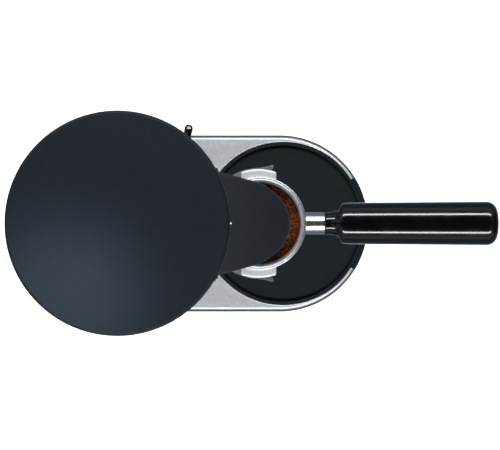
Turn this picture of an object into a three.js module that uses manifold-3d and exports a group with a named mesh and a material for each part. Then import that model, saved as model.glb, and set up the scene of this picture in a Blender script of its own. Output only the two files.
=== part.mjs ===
// A burr coffee grinder for an espresso bar at home: a round motor tower at the back of a stadium-shaped
// base, flat burrs under a bean hopper with a wide disc lid, a hood that drops the grounds, and a fork
// that holds a portafilter over a round catch tray. Millimetres, +X is the front, +Z is up, and the
// table is z = 0. The origin is the middle of the footprint of the whole object.

import * as THREE from "three";
import { mergeVertices } from "three/addons/utils/BufferGeometryUtils.js";
import Module from "manifold-3d";

const wasm = await Module();
wasm.setup();

// ---- Driving dimensions -------------------------------------------------------------------------

const AXIS_X = -101.5; // vertical axis of motor, burrs, collar, hopper and lid
const CUP_X = -1.6; // vertical axis of the docked portafilter's cup
const GAP = 0.3; // clearance between pieces that touch
const CUP_U = CUP_X - AXIS_X; // the cup's axis, measured forwards from the tower's

const BASE_RADIUS = 68.4; // half the base's width
const SKIRT_RADIUS = 70; // the soft band round the base's lower edge
const SKIRT_TOP = 10;
const SKIRT_REBATE = 1.2; // how far the casting steps in behind the band
const BASE_FRONT_X = 14.6; // centre of the base's round front end
const BASE_LOW = 6;
const BASE_TOP = 20;
const BASE_EDGE = 2.2; // rounding of the base's upper edge
const BASE_WALL = 4;
const BASE_ROOF = 3.2; // thickness of its top
const CABLE_HOLE = 38; // radius of the opening between base and tower

const TRAY_X = 17; // centre of the catch tray
const TRAY_RADIUS = 64;
const TRAY_TOP = 21;
const DISH_EDGE = 18; // the dish falls gently from here
const DISH_MIDDLE = 17.6; // to here
const TRAY_GAP = 0.4; // clearance round the tray
const WELL_FLOOR = 13; // the tray's recess in the base ends here
const WELL_WALL = 3;
const WELL_BOTTOM = 2.7; // thickness under the recess
const TRAY_RIM = 3.5; // width of its raised rim
const LIP_HALF_ANGLE = THREE.MathUtils.degToRad(33); // the tray's front lip breaks the base's rim
const LIP_CLEARANCE = 0.008; // radians at each end of the lip

const TOWER_RADIUS = 62;
const TOWER_WALL = 2;
const TOWER_TOP = 205;

const HEAD_RADIUS = 66; // the black head on top of the tower
const HEAD_TOP = 262;
const SNOUT_U = 68.8; // front face of the head's snout, from the axis
const SNOUT_HALF = 40.2;
const HEAD_WALL = 2.5;

const HOOD_LOW = 153.5;
const HOOD_NOSE_U = 97.5; // the hood's flanks end here, and its nose begins
const HOOD_NOSE_HALF = 30.6; // half the hood's width there
const HOOD_TIP_U = 122.6;
const HOOD_ROOT_HALF = 38.2;
const HOOD_WALL = 2.2;

const CHUTE_HALF = 19.7; // duct from the burr chamber into the hood
const CHUTE_LOW = 208.3;
const CHUTE_HIGH = 227.7;
const CHUTE_WALL = 1.5;

const COLLAR_RADIUS = 60;
const COLLAR_TOP = 280;
const LID_RADIUS = 78.5;
const LID_TOP = 373.5;
const HOPPER_RADIUS = 76;
const HOPPER_TOP = 360;

const FORK_LOW = 133.5;
const FORK_TOP = 138.5;
const CUP_RADIUS = 33.2; // the portafilter's cup, below its ring
const RING_RADIUS = 35;
const RING_TOP = 150;
const EAR_RADIUS = 41.2;
const EAR_HALF = 13.4;
const EAR_BACK = 0.8; // the ears sit this far behind the cup's axis
const NECK_Z = 134;
const HANDLE_X = 49.8; // where the grip starts, from the cup's axis
const HANDLE_END_X = 180;

const BUTTON_Z = 126; // the start button behind the fork
const SWITCH_U = 60; // the mains rocker on the side of the snout
const SWITCH_Z = 234;
const SWITCH_HALF = 5; // half its opening, along the tower's forward direction and upwards
const SWITCH_TALL = 9;
const ROCKER_DEPTH = 2.5; // the rocker's pivot lies this far inside the snout's face
const INLET_Z = 42;

const FINE = 40; // segments of the widest circles
const ROUND = 28;
const SMALL = 16;
const TINY = 8;

// ---- Materials ----------------------------------------------------------------------------------

const finish = (color, roughness, metalness) =>
  new THREE.MeshStandardMaterial({ color, roughness, metalness });
const castAluminium = finish(0xb9bdc1, 0.42, 0.9);
const brushedSteel = finish(0xb4b7ba, 0.32, 1);
const polishedSteel = finish(0xd6d8da, 0.12, 1);
const lidPlastic = finish(0x27303a, 0.45, 0);
const hoodPlastic = finish(0x2b2f33, 0.5, 0);
const trayPlastic = finish(0x20272b, 0.6, 0);
const gripPlastic = finish(0x0c0f14, 0.15, 0);
const smokedClear = new THREE.MeshStandardMaterial({
  color: 0x4a4f55,
  roughness: 0.1,
  metalness: 0,
  transparent: true,
  opacity: 0.45,
});
const rubber = finish(0x17181a, 0.85, 0);
const burrSteel = finish(0x8f9498, 0.3, 1);
const siliconSteel = finish(0x6a6d70, 0.5, 0.9);
const copper = finish(0xb0613a, 0.4, 0.9);
const brass = finish(0xb89a52, 0.3, 1);
const switchPlastic = finish(0x101214, 0.35, 0);
const lampWhite = finish(0xf2f5f7, 0.2, 0);
const grounds = finish(0x5a2a12, 0.95, 0);

// ---- Solids -------------------------------------------------------------------------------------

// A closed three.js geometry as a solid that can be joined and cut.
function solid(geometry) {
  const loose = geometry.index ? geometry.toNonIndexed() : geometry;
  const positions = new THREE.BufferGeometry();
  positions.setAttribute("position", loose.getAttribute("position"));
  const merged = mergeVertices(positions, 1e-4);
  const corners = merged.index.array;
  const kept = [];
  for (let i = 0; i < corners.length; i += 3) {
    const [a, b, c] = corners.slice(i, i + 3);
    if (a !== b && b !== c && c !== a) kept.push(a, b, c);
  }
  const mesh = new wasm.Mesh({
    numProp: 3,
    vertProperties: merged.attributes.position.array,
    triVerts: new Uint32Array(kept),
  });
  return new wasm.Manifold(mesh);
}

// A solid as a three.js geometry.
function geometryOf(body) {
  const { vertProperties, triVerts } = body.getMesh();
  const geometry = new THREE.BufferGeometry();
  geometry.setAttribute("position", new THREE.BufferAttribute(vertProperties, 3));
  geometry.setIndex(new THREE.BufferAttribute(triVerts, 1));
  geometry.computeVertexNormals();
  return geometry;
}

// A profile of [radius, height] points, anticlockwise, spun about +Z.
function turned(profile, segments = ROUND) {
  const points = profile.map(([r, z]) => new THREE.Vector2(r, z));
  const closed = profile[0][0] > 0 ? [...points, points[0]] : points;
  return solid(new THREE.LatheGeometry(closed, segments).rotateX(Math.PI / 2));
}

const ring = (outer, inner, low, high, segments = ROUND) =>
  turned([[inner, low], [outer, low], [outer, high], [inner, high]], segments);

const disc = (radius, low, high, segments = ROUND) =>
  turned([[0, low], [radius, low], [radius, high], [0, high]], segments);

// A flat outline in the XY plane, given thickness from low to high.
function prism(shape, low, high, curveSegments = 8) {
  const options = { depth: high - low, bevelEnabled: false, curveSegments };
  return solid(new THREE.ExtrudeGeometry(shape, options).translate(0, 0, low));
}

// An outline of [x, z] points, given width across Y.
function sidePrism(points, halfWidth) {
  const outline = new THREE.Shape(points.map(([x, z]) => new THREE.Vector2(x, z)));
  const options = { depth: 2 * halfWidth, bevelEnabled: false };
  const geometry = new THREE.ExtrudeGeometry(outline, options);
  return solid(geometry.translate(0, 0, -halfWidth).rotateX(Math.PI / 2));
}

function block(x0, x1, y0, y1, z0, z1) {
  const geometry = new THREE.BoxGeometry(x1 - x0, y1 - y0, z1 - z0);
  return solid(geometry.translate((x0 + x1) / 2, (y0 + y1) / 2, (z0 + z1) / 2));
}

// A round bar between two points, with its own radius at each end.
function bar(from, to, fromRadius, toRadius = fromRadius, segments = SMALL) {
  const start = new THREE.Vector3(...from);
  const along = new THREE.Vector3(...to).sub(start);
  const geometry = new THREE.CylinderGeometry(toRadius, fromRadius, along.length(), segments);
  geometry.translate(0, along.length() / 2, 0);
  const turn = new THREE.Quaternion().setFromUnitVectors(
    new THREE.Vector3(0, 1, 0),
    along.clone().normalize(),
  );
  return solid(geometry.applyQuaternion(turn).translate(start.x, start.y, start.z));
}

// Copies of a body, spun about the Z axis by equal steps, and joined.
function spunCopies(make, count) {
  const copies = Array.from({ length: count }, (_, i) => make((2 * Math.PI * i) / count));
  return copies.reduce((sum, copy) => sum.add(copy));
}

// The outline between two equal circles on the X axis.
function stadium(radius, x0, x1) {
  const shape = new THREE.Shape();
  shape.moveTo(x0, -radius);
  shape.lineTo(x1, -radius);
  shape.absarc(x1, 0, radius, -Math.PI / 2, Math.PI / 2, false);
  shape.lineTo(x0, radius);
  shape.absarc(x0, 0, radius, Math.PI / 2, (3 * Math.PI) / 2, false);
  return shape;
}

// A pie slice that points along +X.
function slice(radius, halfAngle) {
  const shape = new THREE.Shape();
  shape.moveTo(0, 0);
  shape.absarc(0, 0, radius, -halfAngle, halfAngle, false);
  shape.lineTo(0, 0);
  return shape;
}

// ---- The scene graph ----------------------------------------------------------------------------

const grinder = new THREE.Group();

function place(x, y = 0, z = 0) {
  const group = new THREE.Group();
  group.position.set(x, y, z);
  grinder.add(group);
  return group;
}

const tower = place(AXIS_X);
const dock = place(CUP_X);
const well = place(TRAY_X);

function add(parent, name, material, body) {
  const mesh = new THREE.Mesh(geometryOf(body), material);
  mesh.name = name;
  parent.add(mesh);
  return mesh;
}

// ---- Base, feet and tray ------------------------------------------------------------------------

const FOOT_PLACES = [
  ["rear_left", AXIS_X - 20, -42],
  ["rear_right", AXIS_X - 20, 42],
  ["front_left", TRAY_X + 18, -42],
  ["front_right", TRAY_X + 18, 42],
];
const FOOT_SCREW_TOP = 11.5;
const SCREW_HOLE = 2;
const BOSS_RADIUS = 5;
const PLATE_TOP = BASE_LOW + 1.5;
const VENT_PITCH = 16;
const VENT_HALF_WIDTH = 2;
const VENT_HALF_LENGTH = 26;
const FAR = 300; // past the end of every piece

// Everything between two heights.
const slab = (low, high) => block(-FAR, FAR, -FAR, FAR, low, high);

function baseCasting() {
  const options = {
    depth: BASE_TOP - BASE_EDGE - BASE_LOW,
    bevelThickness: BASE_EDGE,
    bevelSize: BASE_EDGE,
    bevelSegments: 2,
    curveSegments: 8,
  };
  const rounded = new THREE.ExtrudeGeometry(
    stadium(BASE_RADIUS - BASE_EDGE, AXIS_X, BASE_FRONT_X),
    options,
  );
  const core = prism(stadium(BASE_RADIUS - SKIRT_REBATE, AXIS_X, BASE_FRONT_X), 0, SKIRT_TOP);
  const rebate = slab(BASE_LOW - 1, SKIRT_TOP).subtract(core);
  const below = slab(0, BASE_LOW);
  const outside = solid(rounded.translate(0, 0, BASE_LOW)).subtract(below).subtract(rebate);
  const pocketShape = stadium(BASE_RADIUS - BASE_WALL, AXIS_X, BASE_FRONT_X);
  const pocket = prism(pocketShape, BASE_LOW - 1, BASE_TOP - BASE_ROOF);
  const wellRadius = TRAY_RADIUS + TRAY_GAP;
  const wellCentre = [TRAY_X, 0, 0];
  const wellLow = WELL_FLOOR - WELL_BOTTOM;
  const wellBlock = disc(wellRadius + WELL_WALL, wellLow, BASE_TOP + 1).translate(wellCentre);
  const wellSpace = disc(wellRadius, WELL_FLOOR, BASE_TOP + 1, FINE).translate(wellCentre);
  const pedestal = disc(TOWER_RADIUS + GAP, 0, BASE_TOP, FINE).translate([AXIS_X, 0, 0]);
  const lipSpace = prism(slice(FAR, LIP_HALF_ANGLE), WELL_FLOOR, BASE_TOP + 1).translate(wellCentre);
  const cableHole = disc(CABLE_HOLE, BASE_LOW, BASE_TOP + 1, SMALL).translate([AXIS_X, 0, 0]);
  let body = outside.subtract(pocket.subtract(wellBlock)).subtract(wellSpace.subtract(pedestal));
  body = body.subtract(lipSpace).subtract(cableHole);
  for (const [, x, y] of FOOT_PLACES) {
    const boss = disc(BOSS_RADIUS, PLATE_TOP + GAP, BASE_TOP - BASE_ROOF + 0.2, TINY).translate([x, y, 0]);
    body = body.add(boss.subtract(wellSpace));
    body = body.subtract(disc(SCREW_HOLE, 0, FOOT_SCREW_TOP + GAP, TINY).translate([x, y, 0]));
  }
  return body;
}

// A band that sits in the casting's rebate and stands a little proud of it.
function baseSkirt() {
  const outside = prism(stadium(SKIRT_RADIUS, AXIS_X, BASE_FRONT_X), BASE_LOW, SKIRT_TOP - GAP);
  const inside = stadium(BASE_RADIUS - SKIRT_REBATE + GAP, AXIS_X, BASE_FRONT_X);
  return outside.subtract(prism(inside, 0, SKIRT_TOP + 1));
}

function bottomPlate() {
  const outline = stadium(BASE_RADIUS - BASE_WALL - GAP, AXIS_X, BASE_FRONT_X);
  let body = prism(outline, BASE_LOW, PLATE_TOP);
  for (const [, x, y] of FOOT_PLACES) {
    body = body.subtract(disc(SCREW_HOLE, 0, 10, TINY).translate([x, y, 0]));
  }
  for (const step of [-1, 0, 1]) {
    const x = AXIS_X + VENT_PITCH * step;
    const vent = block(x - VENT_HALF_WIDTH, x + VENT_HALF_WIDTH, -VENT_HALF_LENGTH, VENT_HALF_LENGTH, 0, 10);
    body = body.subtract(vent);
  }
  return body;
}

const foot = () =>
  turned(
    [[SCREW_HOLE, 3.9], [4.6, 3.9], [4.6, 0], [8.5, 0], [9.5, 1.2], [10.5, 5.7], [SCREW_HOLE, 5.7]],
    SMALL,
  );

const footScrew = () =>
  turned([[0, 1.4], [3.7, 1.4], [3.7, 3.6], [1.7, 3.6], [1.7, FOOT_SCREW_TOP], [0, FOOT_SCREW_TOP]], TINY);

// A shallow dish with a rim, a lip that runs out to the front, and a wall where it meets the tower.
function catchTray() {
  const low = WELL_FLOOR + GAP;
  const dish = turned(
    [[0, low], [TRAY_RADIUS, low], [TRAY_RADIUS, TRAY_TOP], [TRAY_RADIUS - TRAY_RIM, TRAY_TOP],
      [TRAY_RADIUS - TRAY_RIM - 0.4, DISH_EDGE], [0, DISH_MIDDLE]],
    FINE,
  );
  const front = disc(SKIRT_RADIUS - GAP, low, BASE_TOP, FINE).translate([BASE_FRONT_X - TRAY_X, 0, 0]);
  const lip = front.intersect(prism(slice(FAR, LIP_HALF_ANGLE - LIP_CLEARANCE), 0, FAR));
  const nearTower = TOWER_RADIUS + 2 * TRAY_GAP;
  const toTower = [AXIS_X - TRAY_X, 0, 0];
  const backWall = ring(nearTower + 3, nearTower, low, TRAY_TOP, FINE).translate(toTower);
  const tray = dish.add(lip.subtract(disc(TRAY_RADIUS - 1, 0, FAR, FINE)));
  const towerSpace = disc(nearTower, 0, FAR, FINE).translate(toTower);
  return tray.add(backWall.intersect(disc(TRAY_RADIUS, 0, FAR, FINE))).subtract(towerSpace);
}

add(grinder, "base_casting", castAluminium, baseCasting());
add(grinder, "base_skirt", rubber, baseSkirt());
add(grinder, "bottom_plate", siliconSteel, bottomPlate());
for (const [corner, x, y] of FOOT_PLACES) {
  add(grinder, `foot_${corner}`, rubber, foot()).position.set(x, y, 0);
  add(grinder, `foot_screw_${corner}`, polishedSteel, footScrew()).position.set(x, y, 0);
}
add(well, "catch_tray", trayPlastic, catchTray());

// ---- Tower shell and mains inlet ----------------------------------------------------------------

const FORK_SCREW_HALF = 16;
const FORK_SCREW_Z = 118;
const FORK_SCREW_RADIUS = 1.8;
const BUTTON_RADIUS = 6;
const TOWER_FLANGE = 44; // inner radius of the tower's foot ring
const INLET_HALF_WIDTH = 13;
const INLET_HALF_HEIGHT = 8.7;
const INLET_WALL = 1.2;
const COLUMN_SPACE = TOWER_RADIUS + GAP; // pieces outside the tower keep clear of this radius

// A level bore through the front of the tower, and the bore for one of the fork's screws.
const frontHole = (y, z, radius, segments) => bar([50, y, z], [70, y, z], radius, radius, segments);
const screwHole = (side) =>
  frontHole(side * FORK_SCREW_HALF, FORK_SCREW_Z, FORK_SCREW_RADIUS + 0.4, 12);

function towerShell() {
  let body = ring(TOWER_RADIUS, TOWER_RADIUS - TOWER_WALL, BASE_TOP + GAP, TOWER_TOP, FINE);
  body = body.add(ring(TOWER_RADIUS - 1, TOWER_FLANGE, BASE_TOP + GAP, BASE_TOP + GAP + 2));
  const wide = INLET_HALF_WIDTH + GAP;
  const tall = INLET_HALF_HEIGHT + GAP;
  body = body.subtract(block(-70, -50, -wide, wide, INLET_Z - tall, INLET_Z + tall));
  body = body.subtract(frontHole(0, BUTTON_Z, BUTTON_RADIUS + 0.5, SMALL));
  for (const side of [-1, 1]) body = body.subtract(screwHole(side));
  return body;
}

const PIN_PLACES = [["live", -7, -3], ["neutral", 7, -3], ["earth", 0, 2]];
const PIN_BACK = -61;
const PIN_FRONT = -43;

const inletPin = (y, z, grow = 0) =>
  block(PIN_BACK - grow, PIN_FRONT + grow, y - 1 - grow, y + 1 + grow, z - 2 - grow, z + 2 + grow);

function mainsInlet() {
  const wide = INLET_HALF_WIDTH;
  const tall = INLET_HALF_HEIGHT;
  const flange = block(-66, -55, -wide - 4, wide + 4, INLET_Z - tall - 4.3, INLET_Z + tall + 4.3);
  const body = block(-65, -45, -wide, wide, INLET_Z - tall, INLET_Z + tall);
  const deep = tall - INLET_WALL - 0.1;
  const recess = block(-67, -49, INLET_WALL - wide, wide - INLET_WALL, INLET_Z - deep, INLET_Z + deep);
  let inlet = flange.subtract(disc(COLUMN_SPACE, 0, 100, FINE)).add(body).subtract(recess);
  for (const [, y, dz] of PIN_PLACES) inlet = inlet.subtract(inletPin(y, INLET_Z + dz, GAP));
  return inlet;
}

add(tower, "tower_shell", brushedSteel, towerShell());
add(tower, "mains_inlet", switchPlastic, mainsInlet());
for (const [name, y, dz] of PIN_PLACES) {
  add(tower, `inlet_pin_${name}`, brass, inletPin(y, INLET_Z + dz));
}

// ---- Motor --------------------------------------------------------------------------------------

const MOTOR = 20; // segments of the motor's circles
const SHAFT_RADIUS = 6;
const STATOR_LOW = 105;
const STATOR_HIGH = 165;
const ROTOR_RADIUS = 27;
const TIE_U = 46; // the tie rods stand this far from the shaft
const LOWER_BRACKET_LOW = 66;
const UPPER_BRACKET_LOW = 187;
const BEARING_RADIUS = 14;
const BEARING_HEIGHT = 8;

function tieHoles(body, radius) {
  const hole = (u) => disc(radius, 0, 300, TINY).translate([u, 0, 0]);
  return body.subtract(hole(TIE_U)).subtract(hole(-TIE_U));
}

function bracket(low, high, rimTop) {
  const seat = BEARING_RADIUS + GAP;
  const hub = seat + 4;
  const web = turned([[seat, low], [54, low], [54, rimTop], [50.6, rimTop], [50.6, low + 5],
    [hub, low + 5], [hub, high], [seat, high]], MOTOR);
  return tieHoles(web, 2.4);
}

const bearing = (low) => {
  const bore = SHAFT_RADIUS + GAP;
  const high = low + BEARING_HEIGHT;
  const race = [[bore, low], [BEARING_RADIUS, low], [BEARING_RADIUS, high], [11.6, high], [11.6, high - 1.2],
    [8.8, high - 1.2], [8.8, high], [bore, high]];
  return turned(race, MOTOR);
};

// Pressed steel laminations with twelve slots for the windings.
function statorCore() {
  const slot = (angle) => {
    const cut = block(ROTOR_RADIUS - 2, 41, -2.4, 2.4, STATOR_LOW - 1, STATOR_HIGH + 1);
    return cut.rotate([0, 0, THREE.MathUtils.radToDeg(angle)]);
  };
  const core = ring(50, ROTOR_RADIUS + 0.8, STATOR_LOW, STATOR_HIGH, MOTOR);
  return tieHoles(core.subtract(spunCopies(slot, 12)), 2.4);
}

const winding = (low, high) =>
  turned([[31, low + 2], [33, low], [40, low], [42.5, low + 4], [42.5, high], [31, high]], MOTOR);

function shaft() {
  return turned([[0, 61], [5, 61], [SHAFT_RADIUS, 63], [SHAFT_RADIUS, 224],
    [4.6, 224], [4.6, 231], [0, 232]], MOTOR);
}

function coolingFan() {
  const blade = (angle) => {
    const flat = block(12, 40, -0.8, 0.8, 80, 87);
    return flat.rotate([0, 0, THREE.MathUtils.radToDeg(angle)]);
  };
  const bore = SHAFT_RADIUS + GAP;
  const wheel = turned([[bore, 79], [40, 79], [40, 80.4], [13, 80.4], [13, 87], [bore, 87]], MOTOR);
  return wheel.add(spunCopies(blade, 9));
}

function tieRod(u) {
  const body = disc(2, LOWER_BRACKET_LOW - 3, UPPER_BRACKET_LOW + 9, TINY);
  const head = disc(4, LOWER_BRACKET_LOW - 6, LOWER_BRACKET_LOW - GAP, 6);
  return body.add(head).translate([u, 0, 0]);
}

add(tower, "motor_lower_bracket", castAluminium, bracket(LOWER_BRACKET_LOW, 76, 100));
add(tower, "motor_upper_bracket", castAluminium, bracket(UPPER_BRACKET_LOW, 197, TOWER_TOP));
add(tower, "motor_lower_bearing", polishedSteel, bearing(LOWER_BRACKET_LOW + 1));
add(tower, "motor_upper_bearing", polishedSteel, bearing(UPPER_BRACKET_LOW + 1));
add(tower, "stator_core", siliconSteel, statorCore());
add(tower, "stator_winding_lower", copper, winding(STATOR_LOW - 15, STATOR_LOW - GAP));
add(tower, "stator_winding_upper", copper, winding(STATOR_HIGH + GAP, STATOR_HIGH + 17));
add(tower, "motor_tie_rod_front", polishedSteel, tieRod(TIE_U));
add(tower, "motor_tie_rod_rear", polishedSteel, tieRod(-TIE_U));
add(tower, "rotor_core", siliconSteel,
  ring(ROTOR_RADIUS, SHAFT_RADIUS + GAP, STATOR_LOW, STATOR_HIGH, MOTOR));
add(tower, "motor_shaft", polishedSteel, shaft());
add(tower, "cooling_fan", switchPlastic, coolingFan());
add(tower, "run_capacitor", lidPlastic, disc(14, BASE_TOP + 3, 57, SMALL).translate([14, 28, 0]));

// ---- Burr chamber and burrs ---------------------------------------------------------------------

const CHAMBER_RADIUS = 50;
const CHAMBER_FLOOR = 211;
const BURR_RADIUS = 32;
const BURR_BORE = 17;
const BURR_LAND = 28; // the flat outer ring of the grinding face starts here
const BURR_CONE = 3.5; // depth of the cone inside it
const LOWER_BURR_LOW = 224.3;
const BURR_THICKNESS = 7.7;
const BURR_SPACING = 0.5; // between the burrs' flat outer lands

function grindingChamber() {
  const low = TOWER_TOP + GAP;
  let body = ring(TOWER_RADIUS - GAP, 8, low, CHAMBER_FLOOR);
  body = body.add(ring(CHAMBER_RADIUS + 5, CHAMBER_RADIUS, low, HEAD_TOP - 3.5));
  return body.subtract(block(40, 60, -18, 18, CHAMBER_FLOOR + 1, CHUTE_HIGH - 2));
}

// Slanting grooves cut the grinding face into teeth.
function burrTeeth(low, high) {
  const groove = (angle) => {
    const cut = block(BURR_BORE - 3, BURR_RADIUS + 2, 6, 9, low, high);
    return cut.rotate([0, 0, THREE.MathUtils.radToDeg(angle)]);
  };
  return spunCopies(groove, 10);
}

function lowerBurr() {
  const low = LOWER_BURR_LOW;
  const face = low + BURR_THICKNESS;
  const body = turned([[BURR_BORE, low], [BURR_RADIUS, low], [BURR_RADIUS, face], [BURR_LAND, face],
    [BURR_BORE, face - BURR_CONE]]);
  return body.subtract(burrTeeth(face - 2.4, face + 1));
}

function upperBurr() {
  const face = LOWER_BURR_LOW + BURR_THICKNESS + BURR_SPACING;
  const high = face + BURR_THICKNESS;
  const body = turned([[BURR_BORE, face + BURR_CONE], [BURR_LAND, face], [BURR_RADIUS, face],
    [BURR_RADIUS, high], [BURR_BORE, high]]);
  return body.subtract(burrTeeth(face - 1, face + 2.4));
}

function lowerBurrCarrier() {
  const vane = (angle) => {
    const sweep = block(36, 46, -2, 2, 217, 222);
    return sweep.rotate([0, 0, THREE.MathUtils.radToDeg(angle)]);
  };
  const bore = SHAFT_RADIUS + GAP;
  const plate = turned([[bore, 213], [12, 213], [12, 217], [38, 217], [38, 224], [bore, 224]]);
  return plate.add(spunCopies(vane, 3));
}

function upperBurrCarrier() {
  const low = LOWER_BURR_LOW + 2 * BURR_THICKNESS + BURR_SPACING + GAP;
  return turned([[20, low], [47, low], [47, 274], [38.2, 274], [38.2, 247], [20, 247]]);
}

add(tower, "grinding_chamber", castAluminium, grindingChamber());
add(tower, "lower_burr_carrier", castAluminium, lowerBurrCarrier());
add(tower, "lower_burr", burrSteel, lowerBurr());
add(tower, "burr_nut", brass, disc(9, 224.3, 230.5, 6).subtract(disc(4.9, 220, 240, MOTOR)));
add(tower, "upper_burr", burrSteel, upperBurr());
add(tower, "upper_burr_carrier", castAluminium, upperBurrCarrier());

// ---- Head, chute, hood and lamp -----------------------------------------------------------------

const HEAD_LOW = TOWER_TOP + GAP;
const LAMP_U = 78.2;
const LAMP_RADIUS = 0.9;
const NOSE_START = 0.2; // the part of the nose's oval that the straight flanks replace
const NOSE_POWER = 1.5;
const NOSE_STEPS = 10;

function headCover() {
  const inner = HEAD_RADIUS - 3.8;
  const round = disc(HEAD_RADIUS, HEAD_LOW, HEAD_TOP, FINE);
  const snout = block(20, SNOUT_U, -SNOUT_HALF, SNOUT_HALF, HEAD_LOW, HEAD_TOP);
  const roundSpace = disc(inner, HEAD_LOW - 1, HEAD_TOP - HEAD_WALL, FINE);
  const snoutSpace = block(0, SNOUT_U - HEAD_WALL, HEAD_WALL - SNOUT_HALF, SNOUT_HALF - HEAD_WALL,
    HEAD_LOW + HEAD_WALL, HEAD_TOP - HEAD_WALL);
  const throat = disc(48.5, HEAD_TOP - 10, HEAD_TOP + 1);
  const mouth = block(60, 80, -CHUTE_HALF - GAP, CHUTE_HALF + GAP, HEAD_LOW - 1, CHUTE_HIGH + GAP);
  const half = SWITCH_HALF + 1.1;
  const tall = SWITCH_TALL + 1.3;
  const switchHole = block(SWITCH_U - half, SWITCH_U + half, -50, -35, SWITCH_Z - tall, SWITCH_Z + tall);
  const shell = round.add(snout).subtract(roundSpace).subtract(snoutSpace);
  return shell.subtract(throat).subtract(mouth.add(switchHole));
}

function outletChute() {
  const duct = block(CHAMBER_RADIUS + 6, SNOUT_U + 6, -CHUTE_HALF, CHUTE_HALF, CHUTE_LOW, CHUTE_HIGH);
  const clearHalf = CHUTE_HALF - CHUTE_WALL;
  const passage = block(0, 100, -clearHalf, clearHalf, CHUTE_LOW + CHUTE_WALL, CHUTE_HIGH - CHUTE_WALL);
  const clear = ring(TOWER_RADIUS, 1, HEAD_LOW - 1, CHAMBER_FLOOR + GAP);
  return duct.subtract(passage).subtract(clear);
}

// The hood in plan: straight sides that run together, and a nose whose half width falls to nothing as
// sqrt(1 - t^1.5), where t goes from the middle of the nose's oval to its tip.
function hoodPlan(inset) {
  const root = SNOUT_U + GAP + inset;
  const tip = HOOD_TIP_U - inset;
  const ovalLength = (HOOD_TIP_U - HOOD_NOSE_U) / (1 - NOSE_START);
  const ovalHalf = HOOD_NOSE_HALF / Math.sqrt(1 - NOSE_START ** NOSE_POWER);
  const nose = [];
  for (let i = 0; i < NOSE_STEPS; i += 1) {
    const t = NOSE_START + (1 - NOSE_START) * Math.sin((Math.PI / 2) * (i / NOSE_STEPS));
    const half = (ovalHalf - inset) * Math.sqrt(1 - t ** NOSE_POWER);
    nose.push(new THREE.Vector2(tip - ovalLength * (1 - t), half));
  }
  const left = [new THREE.Vector2(root, HOOD_ROOT_HALF - inset), ...nose, new THREE.Vector2(tip, 0)];
  const right = left.slice(0, -1).reverse().map(({ x, y }) => new THREE.Vector2(x, -y));
  return new THREE.Shape([...left, ...right].reverse());
}

// The hood from the side: a roof that falls in a crowned slope from the snout to the nose.
function hoodSide(drop, low) {
  const roof = [[66, 235], [74, 231.5], [84, 225], [95, 215.5], [106, 203.5], [116, 190], [126, 173]];
  return [[66, low], [130, low], [130, 160 - drop], ...roof.reverse().map(([u, z]) => [u, z - drop])];
}

function chuteHood() {
  const outside = prism(hoodPlan(0), HOOD_LOW, 240).intersect(sidePrism(hoodSide(0, HOOD_LOW - 5), 60));
  const innerSide = sidePrism(hoodSide(HOOD_WALL + 0.4, HOOD_LOW - 5), 60);
  const inside = prism(hoodPlan(HOOD_WALL), HOOD_LOW - 1, 240).intersect(innerSide);
  const mouth = block(66, 78, -CHUTE_HALF - GAP, CHUTE_HALF + GAP, CHUTE_LOW - GAP, CHUTE_HIGH + GAP);
  const lampHole = disc(LAMP_RADIUS + GAP, 200, 240, 12).translate([LAMP_U, 0, 0]);
  return outside.subtract(inside).subtract(mouth).subtract(lampHole);
}

const lamp = () =>
  turned([[0, 221], [LAMP_RADIUS, 221], [LAMP_RADIUS, 229.4], [0.5, 229.9], [0, 230]], 12)
    .translate([LAMP_U, 0, 0]);

add(tower, "head_cover", hoodPlastic, headCover());
add(tower, "outlet_chute", hoodPlastic, outletChute());
add(tower, "chute_hood", hoodPlastic, chuteHood());
add(tower, "indicator_lamp", lampWhite, lamp());

// ---- Grind adjustment ---------------------------------------------------------------------------

const LEVER_Z = 271;
const LEVER_ROOT = new THREE.Vector2(42.6, 41.9); // where the lever leaves the collar
const LEVER_ANGLE = THREE.MathUtils.degToRad(78.3);
const ROD_RADIUS = 1.4;

// A point on the lever's line, at this distance out from its root.
function leverPoint(out) {
  const u = LEVER_ROOT.x + out * Math.cos(LEVER_ANGLE);
  return [u, LEVER_ROOT.y + out * Math.sin(LEVER_ANGLE), LEVER_Z];
}

const leverBar = (from, to, radius) => bar(leverPoint(from), leverPoint(to), radius, radius, 12);

function adjustingCollar() {
  const body = turned(
    [[47.6, HEAD_TOP + GAP], [COLLAR_RADIUS, HEAD_TOP + GAP], [COLLAR_RADIUS, COLLAR_TOP - 1.5],
      [COLLAR_RADIUS - 1.5, COLLAR_TOP], [47.6, COLLAR_TOP]],
    FINE,
  );
  return body.subtract(leverBar(-8, 8, ROD_RADIUS + GAP));
}

function leverKnob() {
  const sleeve = bar(leverPoint(10), leverPoint(28), 2.1, 2.8);
  const tip = bar(leverPoint(28), leverPoint(30.4), 2.8, 1.6);
  return sleeve.add(tip).subtract(leverBar(9, 24, ROD_RADIUS + GAP));
}

add(tower, "adjusting_collar", hoodPlastic, adjustingCollar());
add(tower, "lever_rod", polishedSteel, leverBar(-7.5, 23.5, ROD_RADIUS));
add(tower, "lever_knob", switchPlastic, leverKnob());

// ---- Hopper and lid -----------------------------------------------------------------------------

const SHOULDER = COLLAR_TOP + GAP;

function hopper() {
  return turned(
    [[35.3, HEAD_TOP], [37.5, HEAD_TOP], [37.5, SHOULDER], [52, SHOULDER], [54, SHOULDER + 2.5],
      [HOPPER_RADIUS, 342], [HOPPER_RADIUS, HOPPER_TOP], [HOPPER_RADIUS - 2.2, HOPPER_TOP],
      [HOPPER_RADIUS - 2.2, 342.4], [51.6, SHOULDER + 4.2], [50.6, SHOULDER + 2.2], [35.3, SHOULDER + 2.2]],
    FINE,
  );
}

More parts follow.
